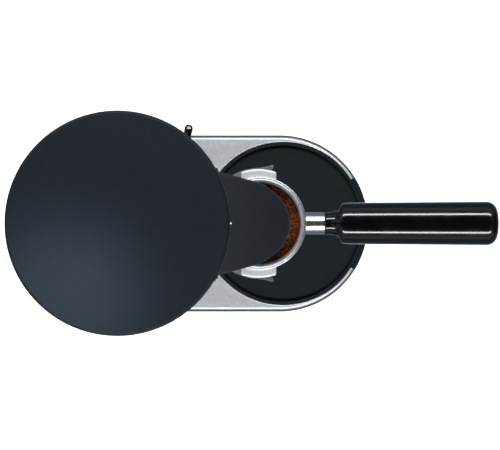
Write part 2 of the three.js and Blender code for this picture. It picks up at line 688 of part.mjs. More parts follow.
function fingerGuard() {
  const along = block(-33.5, 33.5, -1.5, 1.5, HEAD_TOP + 1, HEAD_TOP + 4);
  const across = block(-1.5, 1.5, -33.5, 33.5, HEAD_TOP + 1, HEAD_TOP + 4);
  return ring(35, 33, HEAD_TOP + 1, HEAD_TOP + 4).add(along).add(across);
}

function hopperLid() {
  const inner = HOPPER_RADIUS + 0.6;
  return turned(
    [[inner, 348], [LID_RADIUS - 0.4, 348], [LID_RADIUS, 348.6], [LID_RADIUS, LID_TOP - 5],
      [LID_RADIUS - 0.9, LID_TOP - 3.6], [LID_RADIUS - 2.4, LID_TOP - 3], [55, LID_TOP - 1.2],
      [28, LID_TOP - 0.3], [0, LID_TOP], [0, LID_TOP - 4], [40, LID_TOP - 5], [inner, LID_TOP - 8]],
    FINE,
  );
}

add(tower, "hopper", smokedClear, hopper());
add(tower, "finger_guard", switchPlastic, fingerGuard());
add(tower, "hopper_lid", lidPlastic, hopperLid());
add(tower, "lid_seal", rubber, ring(HOPPER_RADIUS - 0.4, 70.5, HOPPER_TOP + GAP, HOPPER_TOP + 3.6));

// ---- Fork, start button and mains rocker --------------------------------------------------------

const FORK_PLATE_U = 66;
const FORK_ROOT_U = 55;
const FORK_RADIUS = 42.2;
const HORN_REACH = 3.2; // how far the horns stand out past the arms
const BUTTON_REACH_U = 66.2;

// A point at this angle and distance from the cup's axis.
function roundCup(degrees, radius) {
  const angle = THREE.MathUtils.degToRad(degrees);
  return new THREE.Vector2(CUP_U + radius * Math.cos(angle), radius * Math.sin(angle));
}

// Two arms that run round the cup, and end in horns that curve outwards and guide the ears in.
function forkPlan() {
  const slot = CUP_RADIUS + 0.8;
  const backAngle = 144;
  const hornRoot = 92;
  const hornTip = 78;
  const right = [new THREE.Vector2(FORK_ROOT_U, 24)];
  for (let degrees = backAngle; degrees >= hornRoot; degrees -= 6.5) {
    right.push(roundCup(degrees, FORK_RADIUS));
  }
  for (const share of [0.35, 0.65, 0.85, 1]) {
    right.push(roundCup(hornRoot + share * (hornTip - hornRoot), FORK_RADIUS + HORN_REACH * share ** 2));
  }
  right.push(roundCup(hornTip - 2, FORK_RADIUS + HORN_REACH - 0.6));
  right.push(roundCup(hornTip - 1, FORK_RADIUS - 0.5));
  right.push(roundCup(hornTip, slot));
  const left = right.map(({ x, y }) => new THREE.Vector2(x, -y));
  const shape = new THREE.Shape([...left, new THREE.Vector2(CUP_U, -slot)]);
  shape.absarc(CUP_U, 0, slot, -Math.PI / 2, Math.PI / 2, true);
  for (const { x, y } of right.reverse()) shape.lineTo(x, y);
  return shape;
}

function fork() {
  const arms = prism(forkPlan(), FORK_LOW, FORK_TOP);
  const plate = block(50, FORK_PLATE_U, -22, 22, FORK_SCREW_Z - 6, FORK_TOP);
  let body = arms.add(plate).subtract(disc(COLUMN_SPACE, 100, 150, FINE));
  body = body.subtract(frontHole(0, BUTTON_Z, BUTTON_RADIUS + 0.6, SMALL));
  for (const side of [-1, 1]) body = body.subtract(screwHole(side));
  return body;
}

function forkScrew(y) {
  const point = (u) => [u, y, FORK_SCREW_Z];
  const shank = bar(point(55), point(FORK_PLATE_U + 1), FORK_SCREW_RADIUS, FORK_SCREW_RADIUS, 12);
  return shank.add(bar(point(FORK_PLATE_U + GAP), point(FORK_PLATE_U + 2.4), 3.6, 3, 12));
}

// A cap with a chamfered face, and a thin plunger behind it that meets the switch.
function startButton() {
  const point = (u) => [u, 0, BUTTON_Z];
  const chamfer = 0.8;
  const cap = bar(point(60.8), point(BUTTON_REACH_U - chamfer), BUTTON_RADIUS);
  const face = bar(
    point(BUTTON_REACH_U - chamfer), point(BUTTON_REACH_U), BUTTON_RADIUS, BUTTON_RADIUS - chamfer,
  );
  return cap.add(face).add(bar(point(58.3), point(61), 2, 2, 12));
}

// A bezel outside the snout's wall, and a box behind it that the rocker tips in.
function rockerFrame() {
  const wall = -SNOUT_HALF;
  const part = (half, tall, outer, inner) =>
    block(SWITCH_U - half, SWITCH_U + half, outer, inner, SWITCH_Z - tall, SWITCH_Z + tall);
  const bezel = part(SWITCH_HALF + 2.4, SWITCH_TALL + 2.5, wall - 1.8, wall - GAP);
  const box = part(SWITCH_HALF + 0.8, SWITCH_TALL + 1, wall - 1, wall + 11);
  return bezel.add(box).subtract(part(SWITCH_HALF, SWITCH_TALL, wall - 9, wall + 8));
}

// A shallow V seen from the end, so that one half is always pressed in.
function rocker() {
  const outline = [[-4, 8], [-2.8, 0], [-4, -8], [1.5, -7.2], [4, -2], [4, 2], [1.5, 7.2]];
  const shape = new THREE.Shape(outline.map(([y, z]) => new THREE.Vector2(y, z)));
  const geometry = new THREE.ExtrudeGeometry(shape, { depth: 9.2, bevelEnabled: false });
  return solid(geometry.translate(0, 0, -4.6).rotateY(Math.PI / 2).rotateX(Math.PI / 2));
}

add(tower, "portafilter_fork", castAluminium, fork());
add(tower, "fork_screw_left", polishedSteel, forkScrew(-FORK_SCREW_HALF));
add(tower, "fork_screw_right", polishedSteel, forkScrew(FORK_SCREW_HALF));
add(tower, "start_button", switchPlastic, startButton());
add(tower, "micro_switch", switchPlastic, block(51, 55.5, -10, 10, BUTTON_Z - 5, BUTTON_Z + 5));
add(tower, "rocker_frame", switchPlastic, rockerFrame());
const rockerMesh = add(tower, "power_rocker", switchPlastic, rocker());
rockerMesh.position.set(SWITCH_U, ROCKER_DEPTH - SNOUT_HALF, SWITCH_Z);
rockerMesh.rotation.x = THREE.MathUtils.degToRad(7);

// ---- Portafilter --------------------------------------------------------------------------------

const CUP_LOW = 118;
const EAR_TOP = 145.5;

function portafilterBody() {
  const seat = FORK_TOP + GAP;
  const outside = turned([[0, CUP_LOW], [27, CUP_LOW], [31, 120.5], [CUP_RADIUS, 123], [CUP_RADIUS, seat],
    [RING_RADIUS, seat], [RING_RADIUS, RING_TOP], [0, RING_TOP]]);
  const ears = ring(EAR_RADIUS, CUP_RADIUS + 1, seat, EAR_TOP).intersect(
    block(-EAR_HALF - EAR_BACK, EAR_HALF - EAR_BACK, -50, 50, 130, 150),
  );
  const neck = bar([20, 0, NECK_Z], [HANDLE_X - GAP, 0, NECK_Z], 8.3);
  const stud = bar([HANDLE_X - 2, 0, NECK_Z], [HANDLE_X + 26, 0, NECK_Z], 5);
  const inside = disc(31.5, 122, 160).add(disc(4, 100, 130, SMALL));
  return outside.add(ears).add(neck).add(stud).subtract(inside);
}

// A thin pressed pot whose lip rests on the ring.
function filterBasket() {
  const lipLow = RING_TOP + GAP;
  const lipTop = lipLow + 1.2;
  return turned([[0, 124.5], [29.6, 124.5], [31.2, 128], [31.2, lipLow], [33.6, lipLow], [33.6, lipTop],
    [30.4, lipTop], [30.4, 128.2], [29, 125.4], [0, 125.4]]);
}

const coffee = () =>
  turned([[0, 125.8], [28.5, 125.8], [29.9, 128.6], [29.9, 142.5], [20, 144.6], [0, 146]]);

// Two beaks that part under the cup and pour side by side.
function portafilterSpout() {
  const reach = 13;
  const boss = disc(8, 103, CUP_LOW - GAP, SMALL);
  let body = boss;
  let passage = disc(4, 106, 120, TINY);
  for (const side of [-1, 1]) {
    const knee = [0, side * reach, 97];
    const end = [0, side * reach, 84];
    body = body.add(bar([0, 0, 107], knee, 6, 5.6, 12)).add(bar([0, side * reach, 99], end, 5.6, 5.2, 12));
    passage = passage.add(bar([0, 0, 107], knee, 3.4, 3.4, TINY));
    passage = passage.add(bar([0, side * reach, 98], [0, side * reach, 80], 3.4, 3.4, TINY));
  }
  return body.subtract(passage);
}

// The grip, drawn along +Z and laid down along +X.
function grip() {
  const length = HANDLE_END_X - CUP_X - HANDLE_X;
  const outline = [[0, 0], [8.6, 0], [8.9, 3.4], [10.4, 7.4], [13.4, 10.8], [15.4, 12.6], [15.8, 14.6],
    [16.6, length - 8], [15.7, length - 3], [12.6, length - 0.6], [0, length]];
  return turned(outline, ROUND).subtract(disc(5 + GAP, -1, 28, SMALL));
}

add(dock, "portafilter_body", polishedSteel, portafilterBody());
add(dock, "filter_basket", polishedSteel, filterBasket());
add(dock, "ground_coffee", grounds, coffee());
add(dock, "portafilter_spout", polishedSteel, portafilterSpout());
const gripMesh = add(dock, "portafilter_handle", gripPlastic, grip());
gripMesh.position.set(HANDLE_X, 0, NECK_Z);
gripMesh.rotation.y = Math.PI / 2;

export default grinder;
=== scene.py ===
# %% [markdown]
# A burr coffee grinder, dressed in Blender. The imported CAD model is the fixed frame: it holds every part
# at its real size and place, and the joints. Here each visible surface gets its fine shape and a
# material that behaves like the real one. Shapes are worked out in millimetres and stored in metres.

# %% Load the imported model
import math

import bmesh
import bpy
import numpy as np
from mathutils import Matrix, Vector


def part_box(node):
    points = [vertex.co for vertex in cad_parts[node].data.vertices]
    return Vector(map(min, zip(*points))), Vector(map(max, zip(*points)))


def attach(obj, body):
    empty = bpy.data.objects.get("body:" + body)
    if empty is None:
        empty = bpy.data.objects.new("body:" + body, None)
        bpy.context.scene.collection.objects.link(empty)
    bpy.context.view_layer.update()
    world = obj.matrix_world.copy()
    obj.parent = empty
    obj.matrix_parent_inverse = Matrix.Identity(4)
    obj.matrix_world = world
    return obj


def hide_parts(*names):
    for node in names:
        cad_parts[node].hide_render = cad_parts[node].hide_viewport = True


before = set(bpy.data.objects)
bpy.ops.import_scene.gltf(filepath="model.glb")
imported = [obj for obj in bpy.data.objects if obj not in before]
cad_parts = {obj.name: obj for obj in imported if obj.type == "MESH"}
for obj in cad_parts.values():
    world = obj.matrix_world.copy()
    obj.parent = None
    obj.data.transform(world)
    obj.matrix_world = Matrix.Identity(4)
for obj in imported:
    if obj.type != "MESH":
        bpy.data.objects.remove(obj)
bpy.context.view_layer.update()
scene = bpy.context.scene
scene.view_settings.view_transform = "Standard"  # white paper stays white, and dark plastic dark
MM = 0.001


def span(node):
    """A CAD node's lowest and highest corner, in millimetres."""
    low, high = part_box(node)
    return np.array(low) / MM, np.array(high) / MM


def middle(node):
    """The middle of a CAD node's box, in millimetres."""
    low, high = span(node)
    return (low + high) / 2


TOWER_X = middle("tower_shell")[0]  # axis of motor, burrs, collar, hopper and lid
CUP_X = middle("filter_basket")[0]  # axis of the portafilter's cup
TRAY_X = 17.0  # middle of the round tray
print("nodes", len(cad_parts), "tower axis", round(TOWER_X, 2), "cup axis", round(CUP_X, 2))

# %% [markdown]
# The camera looks straight down from far away through a long lens, as a product is shot for a plan view.
# The lens and the height were chosen together, so that the high lid and the low base keep their true
# difference in size. It stands a little off the origin, because the high lid looks larger from up there
# than the low handle on the other side.

# %% Camera
CAMERA_PLACE = (-0.00905, -0.0012, 2.9)
camera_data = bpy.data.cameras.new("camera")
camera_data.sensor_width = 36.0
camera_data.lens = 261.9
camera_data.clip_end = 30.0
camera = bpy.data.objects.new("camera", camera_data)
camera.location = CAMERA_PLACE
scene.collection.objects.link(camera)
scene.camera = camera
print("camera height", CAMERA_PLACE[2], "m, lens", camera_data.lens, "mm")

# %% [markdown]
# Glossy black only shows what it reflects. A long strip light on either side draws one of the two lines
# along the handle, and the dark zenith leaves it black between them. The surroundings are lighter towards
# the horizon and brightest below, as white paper is, so steep flanks and rims get a thin pale edge. A dark
# screen in front keeps the front edges dark. The strips light the matt parts too, and a narrow cool spot
# lays a soft glow on the lid.


# %% Nodes helper
def add_node(tree, kind, inputs=None, stops=(), **settings):
    """Adds a node, sets its properties, and sets or links its inputs. stops are a colour ramp's
    (position, colour) pairs."""
    node = tree.nodes.new(kind)
    for name, value in settings.items():
        setattr(node, name, value)
    for socket, value in (inputs or {}).items():
        if isinstance(value, bpy.types.NodeSocket):
            tree.links.new(value, node.inputs[socket])
        else:
            node.inputs[socket].default_value = value
    for spare in range(len(stops) - 2):
        node.color_ramp.elements.new(0.5)
    for index, (position, colour) in enumerate(stops):
        node.color_ramp.elements[index].position = position
        node.color_ramp.elements[index].color = colour
    return node


def linear(hex_colour):
    """An sRGB hex colour as linear light, by the sRGB curve, with alpha 1."""
    srgb = np.array([int(hex_colour[i:i + 2], 16) for i in (0, 2, 4)]) / 255
    light = np.where(srgb <= 0.04045, srgb / 12.92, ((srgb + 0.055) / 1.055) ** 2.4)
    return (*light.tolist(), 1.0)


# %% Sky
def cool(value):
    """A pale blue light of this brightness, as of an overcast sky."""
    return (0.82 * value, value, 1.18 * value, 1.0)


world = bpy.data.worlds.new("studio")
world.use_nodes = True
scene.world = world
sky = world.node_tree
direction = add_node(sky, "ShaderNodeTexCoord").outputs["Generated"]
split = add_node(sky, "ShaderNodeSeparateXYZ", {"Vector": direction})
# brightness from straight below (0), over the horizon (0.5), to straight above (1)
BRIGHTNESS = [(0.0, 0.9), (0.05, 0.5), (0.14, 0.13), (0.44, 0.15), (0.51, 0.5),
              (0.58, 0.46), (0.7, 0.25), (0.87, 0.08), (0.94, 0.02), (1.0, 0.02)]
HEIGHT_STOPS = [(position, cool(value)) for position, value in BRIGHTNESS]
# from the back (0) to the front (1), where a dark screen stands
WHITE, GREY = (1.0, 1.0, 1.0, 1.0), (0.12, 0.12, 0.12, 1.0)
FRONT_STOPS = [(0.0, WHITE), (0.88, WHITE), (0.95, GREY), (1.0, GREY)]
height = add_node(sky, "ShaderNodeMapRange", {"Value": split.outputs["Z"], "From Min": -1.0})
forward = add_node(sky, "ShaderNodeMapRange", {"Value": split.outputs["X"], "From Min": -1.0})
layers = add_node(sky, "ShaderNodeValToRGB", {"Fac": height.outputs["Result"]}, HEIGHT_STOPS)
screen = add_node(sky, "ShaderNodeValToRGB", {"Fac": forward.outputs["Result"]}, FRONT_STOPS)
inputs = {0: layers.outputs["Color"], 1: screen.outputs["Color"]}
total = add_node(sky, "ShaderNodeVectorMath", inputs, operation="MULTIPLY")
sky.links.new(total.outputs["Vector"], sky.nodes["Background"].inputs["Color"])
sky.nodes["Background"].inputs["Strength"].default_value = 1.0


# %% Lights
def hang(data, place, target):
    """Puts a light at a place, facing the target."""
    light = bpy.data.objects.new(data.name, data)
    light.location = place
    away = light.location - type(light.location)(target)
    light.rotation_euler = away.to_track_quat("Z", "Y").to_euler()
    scene.collection.objects.link(light)


STRIP_ANGLE = math.radians(49.5)  # from the zenith, which puts each line at 0.43 of the grip's radius
STRIP_DISTANCE = 1.6
STRIP_SIZE = (2.4, 0.2)
STRIP_POWER = 29.0
STRIP_TARGET = (0.05, 0.0, 0.1)
for side, name in ((1, "strip_left"), (-1, "strip_right")):
    strip = bpy.data.lights.new(name, "AREA")
    strip.shape = "RECTANGLE"
    strip.size, strip.size_y = STRIP_SIZE
    strip.energy = STRIP_POWER
    y = side * STRIP_DISTANCE * math.sin(STRIP_ANGLE)
    z = STRIP_DISTANCE * math.cos(STRIP_ANGLE) + STRIP_TARGET[2]
    hang(strip, (STRIP_TARGET[0], y, z), STRIP_TARGET)

GLOW_ON_LID = (-0.152, -0.062, 0.37)
spot = bpy.data.lights.new("lid_spot", "SPOT")
spot.energy = 84.0
spot.color = (0.74, 0.96, 1.12)
spot.spot_size = math.radians(5.2)
spot.spot_blend = 1.0
spot.shadow_soft_size = 0.03
hang(spot, (0.25, 0.25, 2.0), GLOW_ON_LID)
print("lights", [light.name for light in bpy.data.lights])

# %% [markdown]
# The floor is white paper that glows a little, so that it stays white right up to the object. The object's
# own rays pass it by and meet the dim sky below the horizon, or each dark flank would turn grey.


# %% Material helper and floor
def principled(material):
    """A material's main shader."""
    return material.node_tree.nodes["Principled BSDF"]


def finish(name, colour, roughness, metallic=0.0, sockets=None):
    """A Principled material whose constant values sit on the shader's own sockets."""
    material = bpy.data.materials.new(name)
    material.use_nodes = True
    shader = principled(material)
    values = {"Base Color": linear(colour), "Roughness": roughness, "Metallic": metallic}
    for socket, value in {**values, **(sockets or {})}.items():
        shader.inputs[socket].default_value = value
    return material


paper = finish("white_backdrop_paper", "f4f4f4", 1.0, sockets={
    "Specular IOR Level": 0.0,
    "Emission Color": (1.0, 1.0, 1.0, 1.0),
    "Emission Strength": 0.75,
})
floor_mesh = bpy.data.meshes.new("floor")
REACH = 12.0  # metres from the middle to each edge
floor_corners = [(-REACH, -REACH, 0.0), (REACH, -REACH, 0.0), (REACH, REACH, 0.0), (-REACH, REACH, 0.0)]
floor_mesh.from_pydata(floor_corners, [], [(0, 1, 2, 3)])
floor_mesh.materials.append(paper)
floor = bpy.data.objects.new("floor", floor_mesh)
floor.visible_glossy = False
floor.visible_diffuse = False
scene.collection.objects.link(floor)

# %% [markdown]
# Every new piece is a grid of points worked out with numpy. Its rows and columns become quads, and a row
# or column that closes on itself is joined round. Corners of a profile are small parabolas, because no
# real edge is perfectly sharp, and it is the rounded edge that catches the light.


# %% Surfaces
MERGE_REACH = 2e-6  # metres: points closer than this are one
NO_LENGTH = 1e-7  # metres: edges shorter than this are dissolved
CORNER_SHARE = 0.45  # a corner takes no more than this of each edge beside it
TINY = 1e-9  # keeps a divisor from being zero


def surface(name, points, around=True, closed=False, sharp=34):
    """A grid of points in millimetres as a mesh. around joins the last column to the first, and closed
    joins the last row to the first. Points that fall together are merged, and normals face out. Edges
    that bend by more than `sharp` degrees stay sharp."""
    rows, columns = points.shape[:2]
    index = np.arange(rows * columns).reshape(rows, columns)
    if around:
        index = np.hstack([index, index[:, :1]])
    if closed:
        index = np.vstack([index, index[:1]])
    corners = [index[:-1, :-1], index[:-1, 1:], index[1:, 1:], index[1:, :-1]]
    quads = np.stack(corners, axis=-1).reshape(-1, 4)
    mesh = bpy.data.meshes.new(name)
    mesh.from_pydata((points.reshape(-1, 3) * MM).tolist(), [], quads.tolist())
    shell = bmesh.new()
    shell.from_mesh(mesh)
    bmesh.ops.remove_doubles(shell, verts=shell.verts, dist=MERGE_REACH)
    bmesh.ops.dissolve_degenerate(shell, edges=shell.edges, dist=NO_LENGTH)
    bmesh.ops.recalc_face_normals(shell, faces=shell.faces)
    shell.to_mesh(mesh)
    shell.free()
    mesh.shade_smooth()
    mesh.set_sharp_from_angle(angle=math.radians(sharp))
    piece = bpy.data.objects.new(name, mesh)
    scene.collection.objects.link(piece)
    return piece


def rounded(outline, reach, steps=5, closed=False):
    """Each corner becomes the parabola (1-t)^2 a + 2t(1-t) corner + t^2 b, where a and b lie `reach`
    before and after the corner, or CORNER_SHARE of an edge where the edge is short."""
    corner = np.asarray(outline, float)

    def shortened(side):
        """The step from each corner along the edge that leads away from it."""
        length = np.maximum(np.linalg.norm(side, axis=1), TINY)
        return side * np.minimum(CORNER_SHARE, np.asarray(reach) / length)[:, None]

    a = corner + shortened(np.roll(corner, 1, axis=0) - corner)
    b = corner + shortened(np.roll(corner, -1, axis=0) - corner)
    t = np.linspace(0, 1, steps)[None, :, None]
    curve = (1 - t) ** 2 * a[:, None] + 2 * t * (1 - t) * corner[:, None] + t ** 2 * b[:, None]
    if closed:
        return curve.reshape(-1, corner.shape[1])
    inside = curve[1:-1].reshape(-1, corner.shape[1])
    return np.vstack([corner[:1], inside, corner[-1:]])


def spun(profile, centre, turns=192, along="z"):
    """A profile of (radius, height) carried round an axis: radius x cos a, radius x sin a, height."""
    angle = np.linspace(0, 2 * np.pi, turns, endpoint=False)
    radius, rise = np.asarray(profile, float).T
    first = radius[:, None] * np.cos(angle)
    second = radius[:, None] * np.sin(angle)
    third = np.repeat(rise[:, None], turns, axis=1)
    axes = (first, second, third) if along == "z" else (third, first, second)
    return np.stack(axes, axis=-1) + np.asarray(centre, float)


def carried(sections):
    """Closed cross-sections, one a row, with each end closed by a point in the middle of its section."""
    first = np.repeat(sections[:1].mean(axis=1, keepdims=True), sections.shape[1], axis=1)
    last = np.repeat(sections[-1:].mean(axis=1, keepdims=True), sections.shape[1], axis=1)
    return np.concatenate([first, sections, last])


def settle(piece, body, slot, material, *stands_for):
    """Gives a piece its material and its CAD body, and hides the CAD nodes it stands for. slot is not used.
    """
    piece.data.materials.append(material)
    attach(piece, body)
    if stands_for:
        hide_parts(*stands_for)
    points = np.empty(3 * len(piece.data.vertices), np.float32)
    piece.data.vertices.foreach_get("co", points)
    points = points.reshape(-1, 3) / MM
    print(piece.name, "faces", len(piece.data.polygons), "lowest", points.min(axis=0).round(1),
          "size", np.ptp(points, axis=0).round(1))


# %% [markdown]
# Materials. Each starts from the real one and how its surface was made. Patterns are placed by Object
# coordinates in metres, so a scale of one over the size of a cell in metres gives the real size. A grain
# too fine to show at this distance is drawn about as coarse as can just be seen.


# %% Patterns
def pattern(material, cell, stretch=(1.0, 1.0, 1.0), detail=3.0, rough=0.6):
    """Noise whose cells are `cell` millimetres, longer along an axis where stretch is above one."""
    tree = material.node_tree
    place = add_node(tree, "ShaderNodeTexCoord").outputs["Object"]
    scale = tuple(1.0 / s for s in stretch)
    stretched = add_node(tree, "ShaderNodeMapping", {"Vector": place, "Scale": scale}).outputs["Vector"]
    settings = {"Vector": stretched, "Scale": 1 / (cell * MM), "Detail": detail, "Roughness": rough}
    return add_node(tree, "ShaderNodeTexNoise", settings).outputs["Fac"]


def grain(material, factor, depth, colours=None, roughness=None):
    """Lets a pattern raise the surface by `depth` millimetres and vary its colour and roughness."""
    tree = material.node_tree
    shader = principled(material)
    if depth:
        inputs = {"Height": factor, "Strength": 1.0, "Distance": depth * MM}
        bump = add_node(tree, "ShaderNodeBump", inputs)
        tree.links.new(bump.outputs["Normal"], shader.inputs["Normal"])
    if colours:
        stops = [(0.32, linear(colours[0])), (0.68, linear(colours[1]))]  # where most of the noise lies
        mixed = add_node(tree, "ShaderNodeValToRGB", {"Fac": factor}, stops)
        tree.links.new(mixed.outputs["Color"], shader.inputs["Base Color"])
    if roughness:
        low, high = roughness
        inputs = {"Value": factor, "From Min": 0.3, "From Max": 0.7, "To Min": low, "To Max": high}
        spread = add_node(tree, "ShaderNodeMapRange", inputs)
        tree.links.new(spread.outputs["Result"], shader.inputs["Roughness"])
    return material


# %% [markdown]
# ABS (acrylonitrile butadiene styrene) is the usual housing plastic. The lid's is moulded in a satin,
# blue-black tint. The spark-eroded mould leaves a fine grain that spreads a reflection into a haze.

# %% Moulded ABS
lid_abs = finish("satin_blue_black_abs", "151c22", 0.42, sockets={"Specular IOR Level": 0.4})
grain(lid_abs, pattern(lid_abs, 0.9), 0.012, ("131a20", "171e25"), (0.38, 0.46))
hood_abs = finish("satin_charcoal_abs", "25292d", 0.5, sockets={"Specular IOR Level": 0.28})
grain(hood_abs, pattern(hood_abs, 0.9), 0.015, ("23272b", "272b30"), (0.45, 0.55))
tray_abs = finish("spark_textured_abs", "0e1519", 0.6, sockets={"Specular IOR Level": 0.15})
grain(tray_abs, pattern(tray_abs, 1.1), 0.03, ("0c1317", "11181c"), (0.54, 0.66))
switch_abs = finish("gloss_black_abs", "0d0f12", 0.28)
grain(switch_abs, pattern(switch_abs, 1.2), 0.005, ("0c0e10", "101215"), (0.24, 0.32))

# %% [markdown]
# The handle is phenolic resin, pressed hard and polished by the mould: deep black, with a gloss like
# lacquer. A slow ripple of under a hundredth of a millimetre keeps its long highlights from being ruled.

# %% Phenolic handle
phenolic = finish("polished_black_phenolic", "05070a", 0.13, sockets={"IOR": 1.58})
grain(phenolic, pattern(phenolic, 14.0, detail=1.0), 0.008, ("040609", "06080b"), (0.11, 0.15))

# %% [markdown]
# Metals. The base is cast aluminium, bead-blasted and anodised: countless tiny dents, each reflecting
# another way, which gives an even silver grey with a faint sparkle. The tower is drawn steel brushed
# round, so its scratches run level. The cup and its ring are satin chrome, and the neck is smoother.

# %% Metals
blasted = finish("bead_blasted_anodised_aluminium", "dee0e2", 0.52, 1.0)
grain(blasted, pattern(blasted, 1.3, detail=4.0), 0.05, ("d4d6d8", "e8eaec"), (0.47, 0.57))
brushed = finish("brushed_stainless_steel", "b9bcbf", 0.32, 1.0)
grain(brushed, pattern(brushed, 0.8, (60.0, 60.0, 1.0)), 0.003, ("aeb1b4", "c6c9cc"), (0.28, 0.37))
satin_chrome = finish("satin_chrome", "e2e3e5", 0.36, 1.0)
grain(satin_chrome, pattern(satin_chrome, 2.0), 0.004, ("dcdddf", "e8e9eb"), (0.32, 0.4))
chrome = finish("polished_chrome", "e6e7e8", 0.06, 1.0)
grain(chrome, pattern(chrome, 9.0, detail=1.0), 0.006, ("e2e3e4", "eaebec"), (0.04, 0.09))
neck_chrome = finish("soft_polished_chrome", "c2c4c7", 0.29, 1.0)
grain(neck_chrome, pattern(neck_chrome, 2.0), 0.002, ("bcbec1", "c8cacd"), (0.27, 0.31))
tumbled = finish("tumbled_nickel_plated_zinc", "f0f2f6", 0.6, 1.0)
grain(tumbled, pattern(tumbled, 1.4), 0.03, ("e8eaee", "f8fafd"), (0.55, 0.66))
as_cast = finish("as_cast_zinc", "71757b", 0.55, 1.0)
grain(as_cast, pattern(as_cast, 1.4), 0.04, ("676b71", "7c8086"), (0.5, 0.62))
rim_steel = finish("satin_stainless_steel", "dcdfe2", 0.44, 1.0)
grain(rim_steel, pattern(rim_steel, 1.6), 0.01, ("d4d7da", "e4e7ea"), (0.4, 0.48))
ground_steel = finish("ground_hardened_steel", "8f9498", 0.28, 1.0)
grain(ground_steel, pattern(ground_steel, 0.7, (1.0, 12.0, 1.0)), 0.008, ("868b8f", "9ba0a4"), (0.22, 0.36))
laminated = finish("laminated_silicon_steel", "5f6265", 0.5, 1.0)
grain(laminated, pattern(laminated, 0.8, (60.0, 60.0, 1.0)), 0.05, ("4e5154", "707376"), (0.42, 0.6))
copper_wire = finish("enamelled_copper_wire", "9a4a24", 0.35, 1.0)
grain(copper_wire, pattern(copper_wire, 1.0, (9.0, 9.0, 1.0)), 0.2, ("7c3717", "b35c30"), (0.28, 0.42))
brass = finish("turned_brass", "b8984f", 0.25, 1.0)
grain(brass, pattern(brass, 0.7, (10.0, 10.0, 1.0)), 0.006, ("ae8f48", "c3a45b"), (0.2, 0.32))

# %% [markdown]
# The hopper is clear polycarbonate tinted grey. Light that enters is bent by an index of 1.58 and loses
# a little on the way. The lamp's lens is the same resin with a white filler, and glows faintly. The
# white dot on the lever's knob is a painted highlight: white paint that draws the glint near the knob's end.
# The band round the base and the feet are rubber-like and soft. The band's grey is painted shade for the
# contact shadow along the base's edge.

# %% Clear and soft materials
smoked = finish("smoked_polycarbonate", "6a6f75", 0.06, sockets={"IOR": 1.58, "Transmission Weight": 0.9})
grain(smoked, pattern(smoked, 20.0, detail=1.0), 0.02, ("646970", "70757b"), (0.04, 0.09))
opal = finish("opal_lamp_lens", "f3f6f8", 0.15, sockets={
    "Emission Color": (0.9, 0.96, 1.0, 1.0),
    "Emission Strength": 0.15,
})
grain(opal, pattern(opal, 0.5), 0.004, ("eef1f4", "f8fafc"), (0.12, 0.2))
# White paint for a painted highlight: its dot on the lever's knob draws the glint near the knob's end.
painted_glint_white = finish("white_paint_painted_glint", "f2f2ee", 0.3)
grain(painted_glint_white, pattern(painted_glint_white, 0.6), 0.004, ("ecece8", "f8f8f4"), (0.26, 0.36))
# Grey of the band round the base: painted shade that draws the contact shadow along the base's edge as a
# thin dark outline.
painted_shadow_elastomer = finish("grey_elastomer_painted_shadow", "4a4e52", 0.7)
grain(painted_shadow_elastomer, pattern(painted_shadow_elastomer, 1.0), 0.03, ("44484c", "505458"), (0.62, 0.78))
rubber = finish("moulded_nitrile_rubber", "1a1b1d", 0.8)
grain(rubber, pattern(rubber, 1.0), 0.04, ("161719", "202124"), (0.72, 0.88))

# %% [markdown]
# Ground coffee is a heap of broken grains under a millimetre across. Dark skin and paler, orange-brown
# insides lie side by side, so each grain gets a colour of its own and stands up in its middle.


# %% Ground coffee
def coffee_grains():
    """Cells as wide as a grain, each with its own brown, and a bump that falls towards their edges."""
    material = finish("fresh_ground_coffee", "6a2f12", 0.85, sockets={"Specular IOR Level": 0.25})
    grain_width, grain_height = 0.9, 0.3
    tree = material.node_tree
    place = add_node(tree, "ShaderNodeTexCoord").outputs["Object"]
    cells = add_node(tree, "ShaderNodeTexVoronoi", {"Vector": place, "Scale": 1 / (grain_width * MM)})
    lot = add_node(tree, "ShaderNodeSeparateColor", {"Color": cells.outputs["Color"]}).outputs["Red"]
    browns = [(0.0, "1c0b03"), (0.4, "431d08"), (0.75, "73350f"), (1.0, "a45a20")]
    stops = [(position, linear(brown)) for position, brown in browns]
    colour = add_node(tree, "ShaderNodeValToRGB", {"Fac": lot}, stops)
    tree.links.new(colour.outputs["Color"], principled(material).inputs["Base Color"])
    inputs = {"Height": cells.outputs["Distance"], "Strength": 1.0, "Distance": grain_height * MM}
    bump = add_node(tree, "ShaderNodeBump", inputs, invert=True)
    tree.links.new(bump.outputs["Normal"], principled(material).inputs["Normal"])
    return material


grounds = coffee_grains()
print("materials", len(bpy.data.materials))

# %% [markdown]
# The lid is one wide shallow dome with a broad rim. Its edge is a narrow chamfer between two soft
# corners, which shows as a fine pale line just inside the outline. A spun profile gives all of it.


# %% Lid
LID_DOME = 2.4  # the dome falls by this from its middle to the lid's edge
LID_SKIRT = 1.9  # wall of the skirt


def lid_profile():
    """Radius and height, from the middle underneath, out and down the skirt's inside, up its outside,
    over the chamfer and in along the dome. Its first radii lie close together, to keep its edge crisp."""
    low, high = span("hopper_lid")
    edge, top = (high[0] - low[0]) / 2, high[2]
    dome_radius = np.concatenate([edge - np.array([1.7, 1.85, 2.2]), np.linspace(edge - 3.5, 0.0, 14)])
    dome = np.column_stack([dome_radius, top - LID_DOME * (dome_radius / edge) ** 2])
    skirt = rounded(
        [[edge - 8, top - 9], [edge - LID_SKIRT, top - 9.2], [edge - LID_SKIRT, low[2]], [edge, low[2]],
         [edge, top - 4.2], dome[0], dome[1]],
        [0.0, 1.0, 0.5, 0.7, 0.7, 0.15, 0.0],
    )
    under = [[0.0, top - 4.0], [40.0, top - 5.0]]
    return np.vstack([under, skirt, dome[2:]])


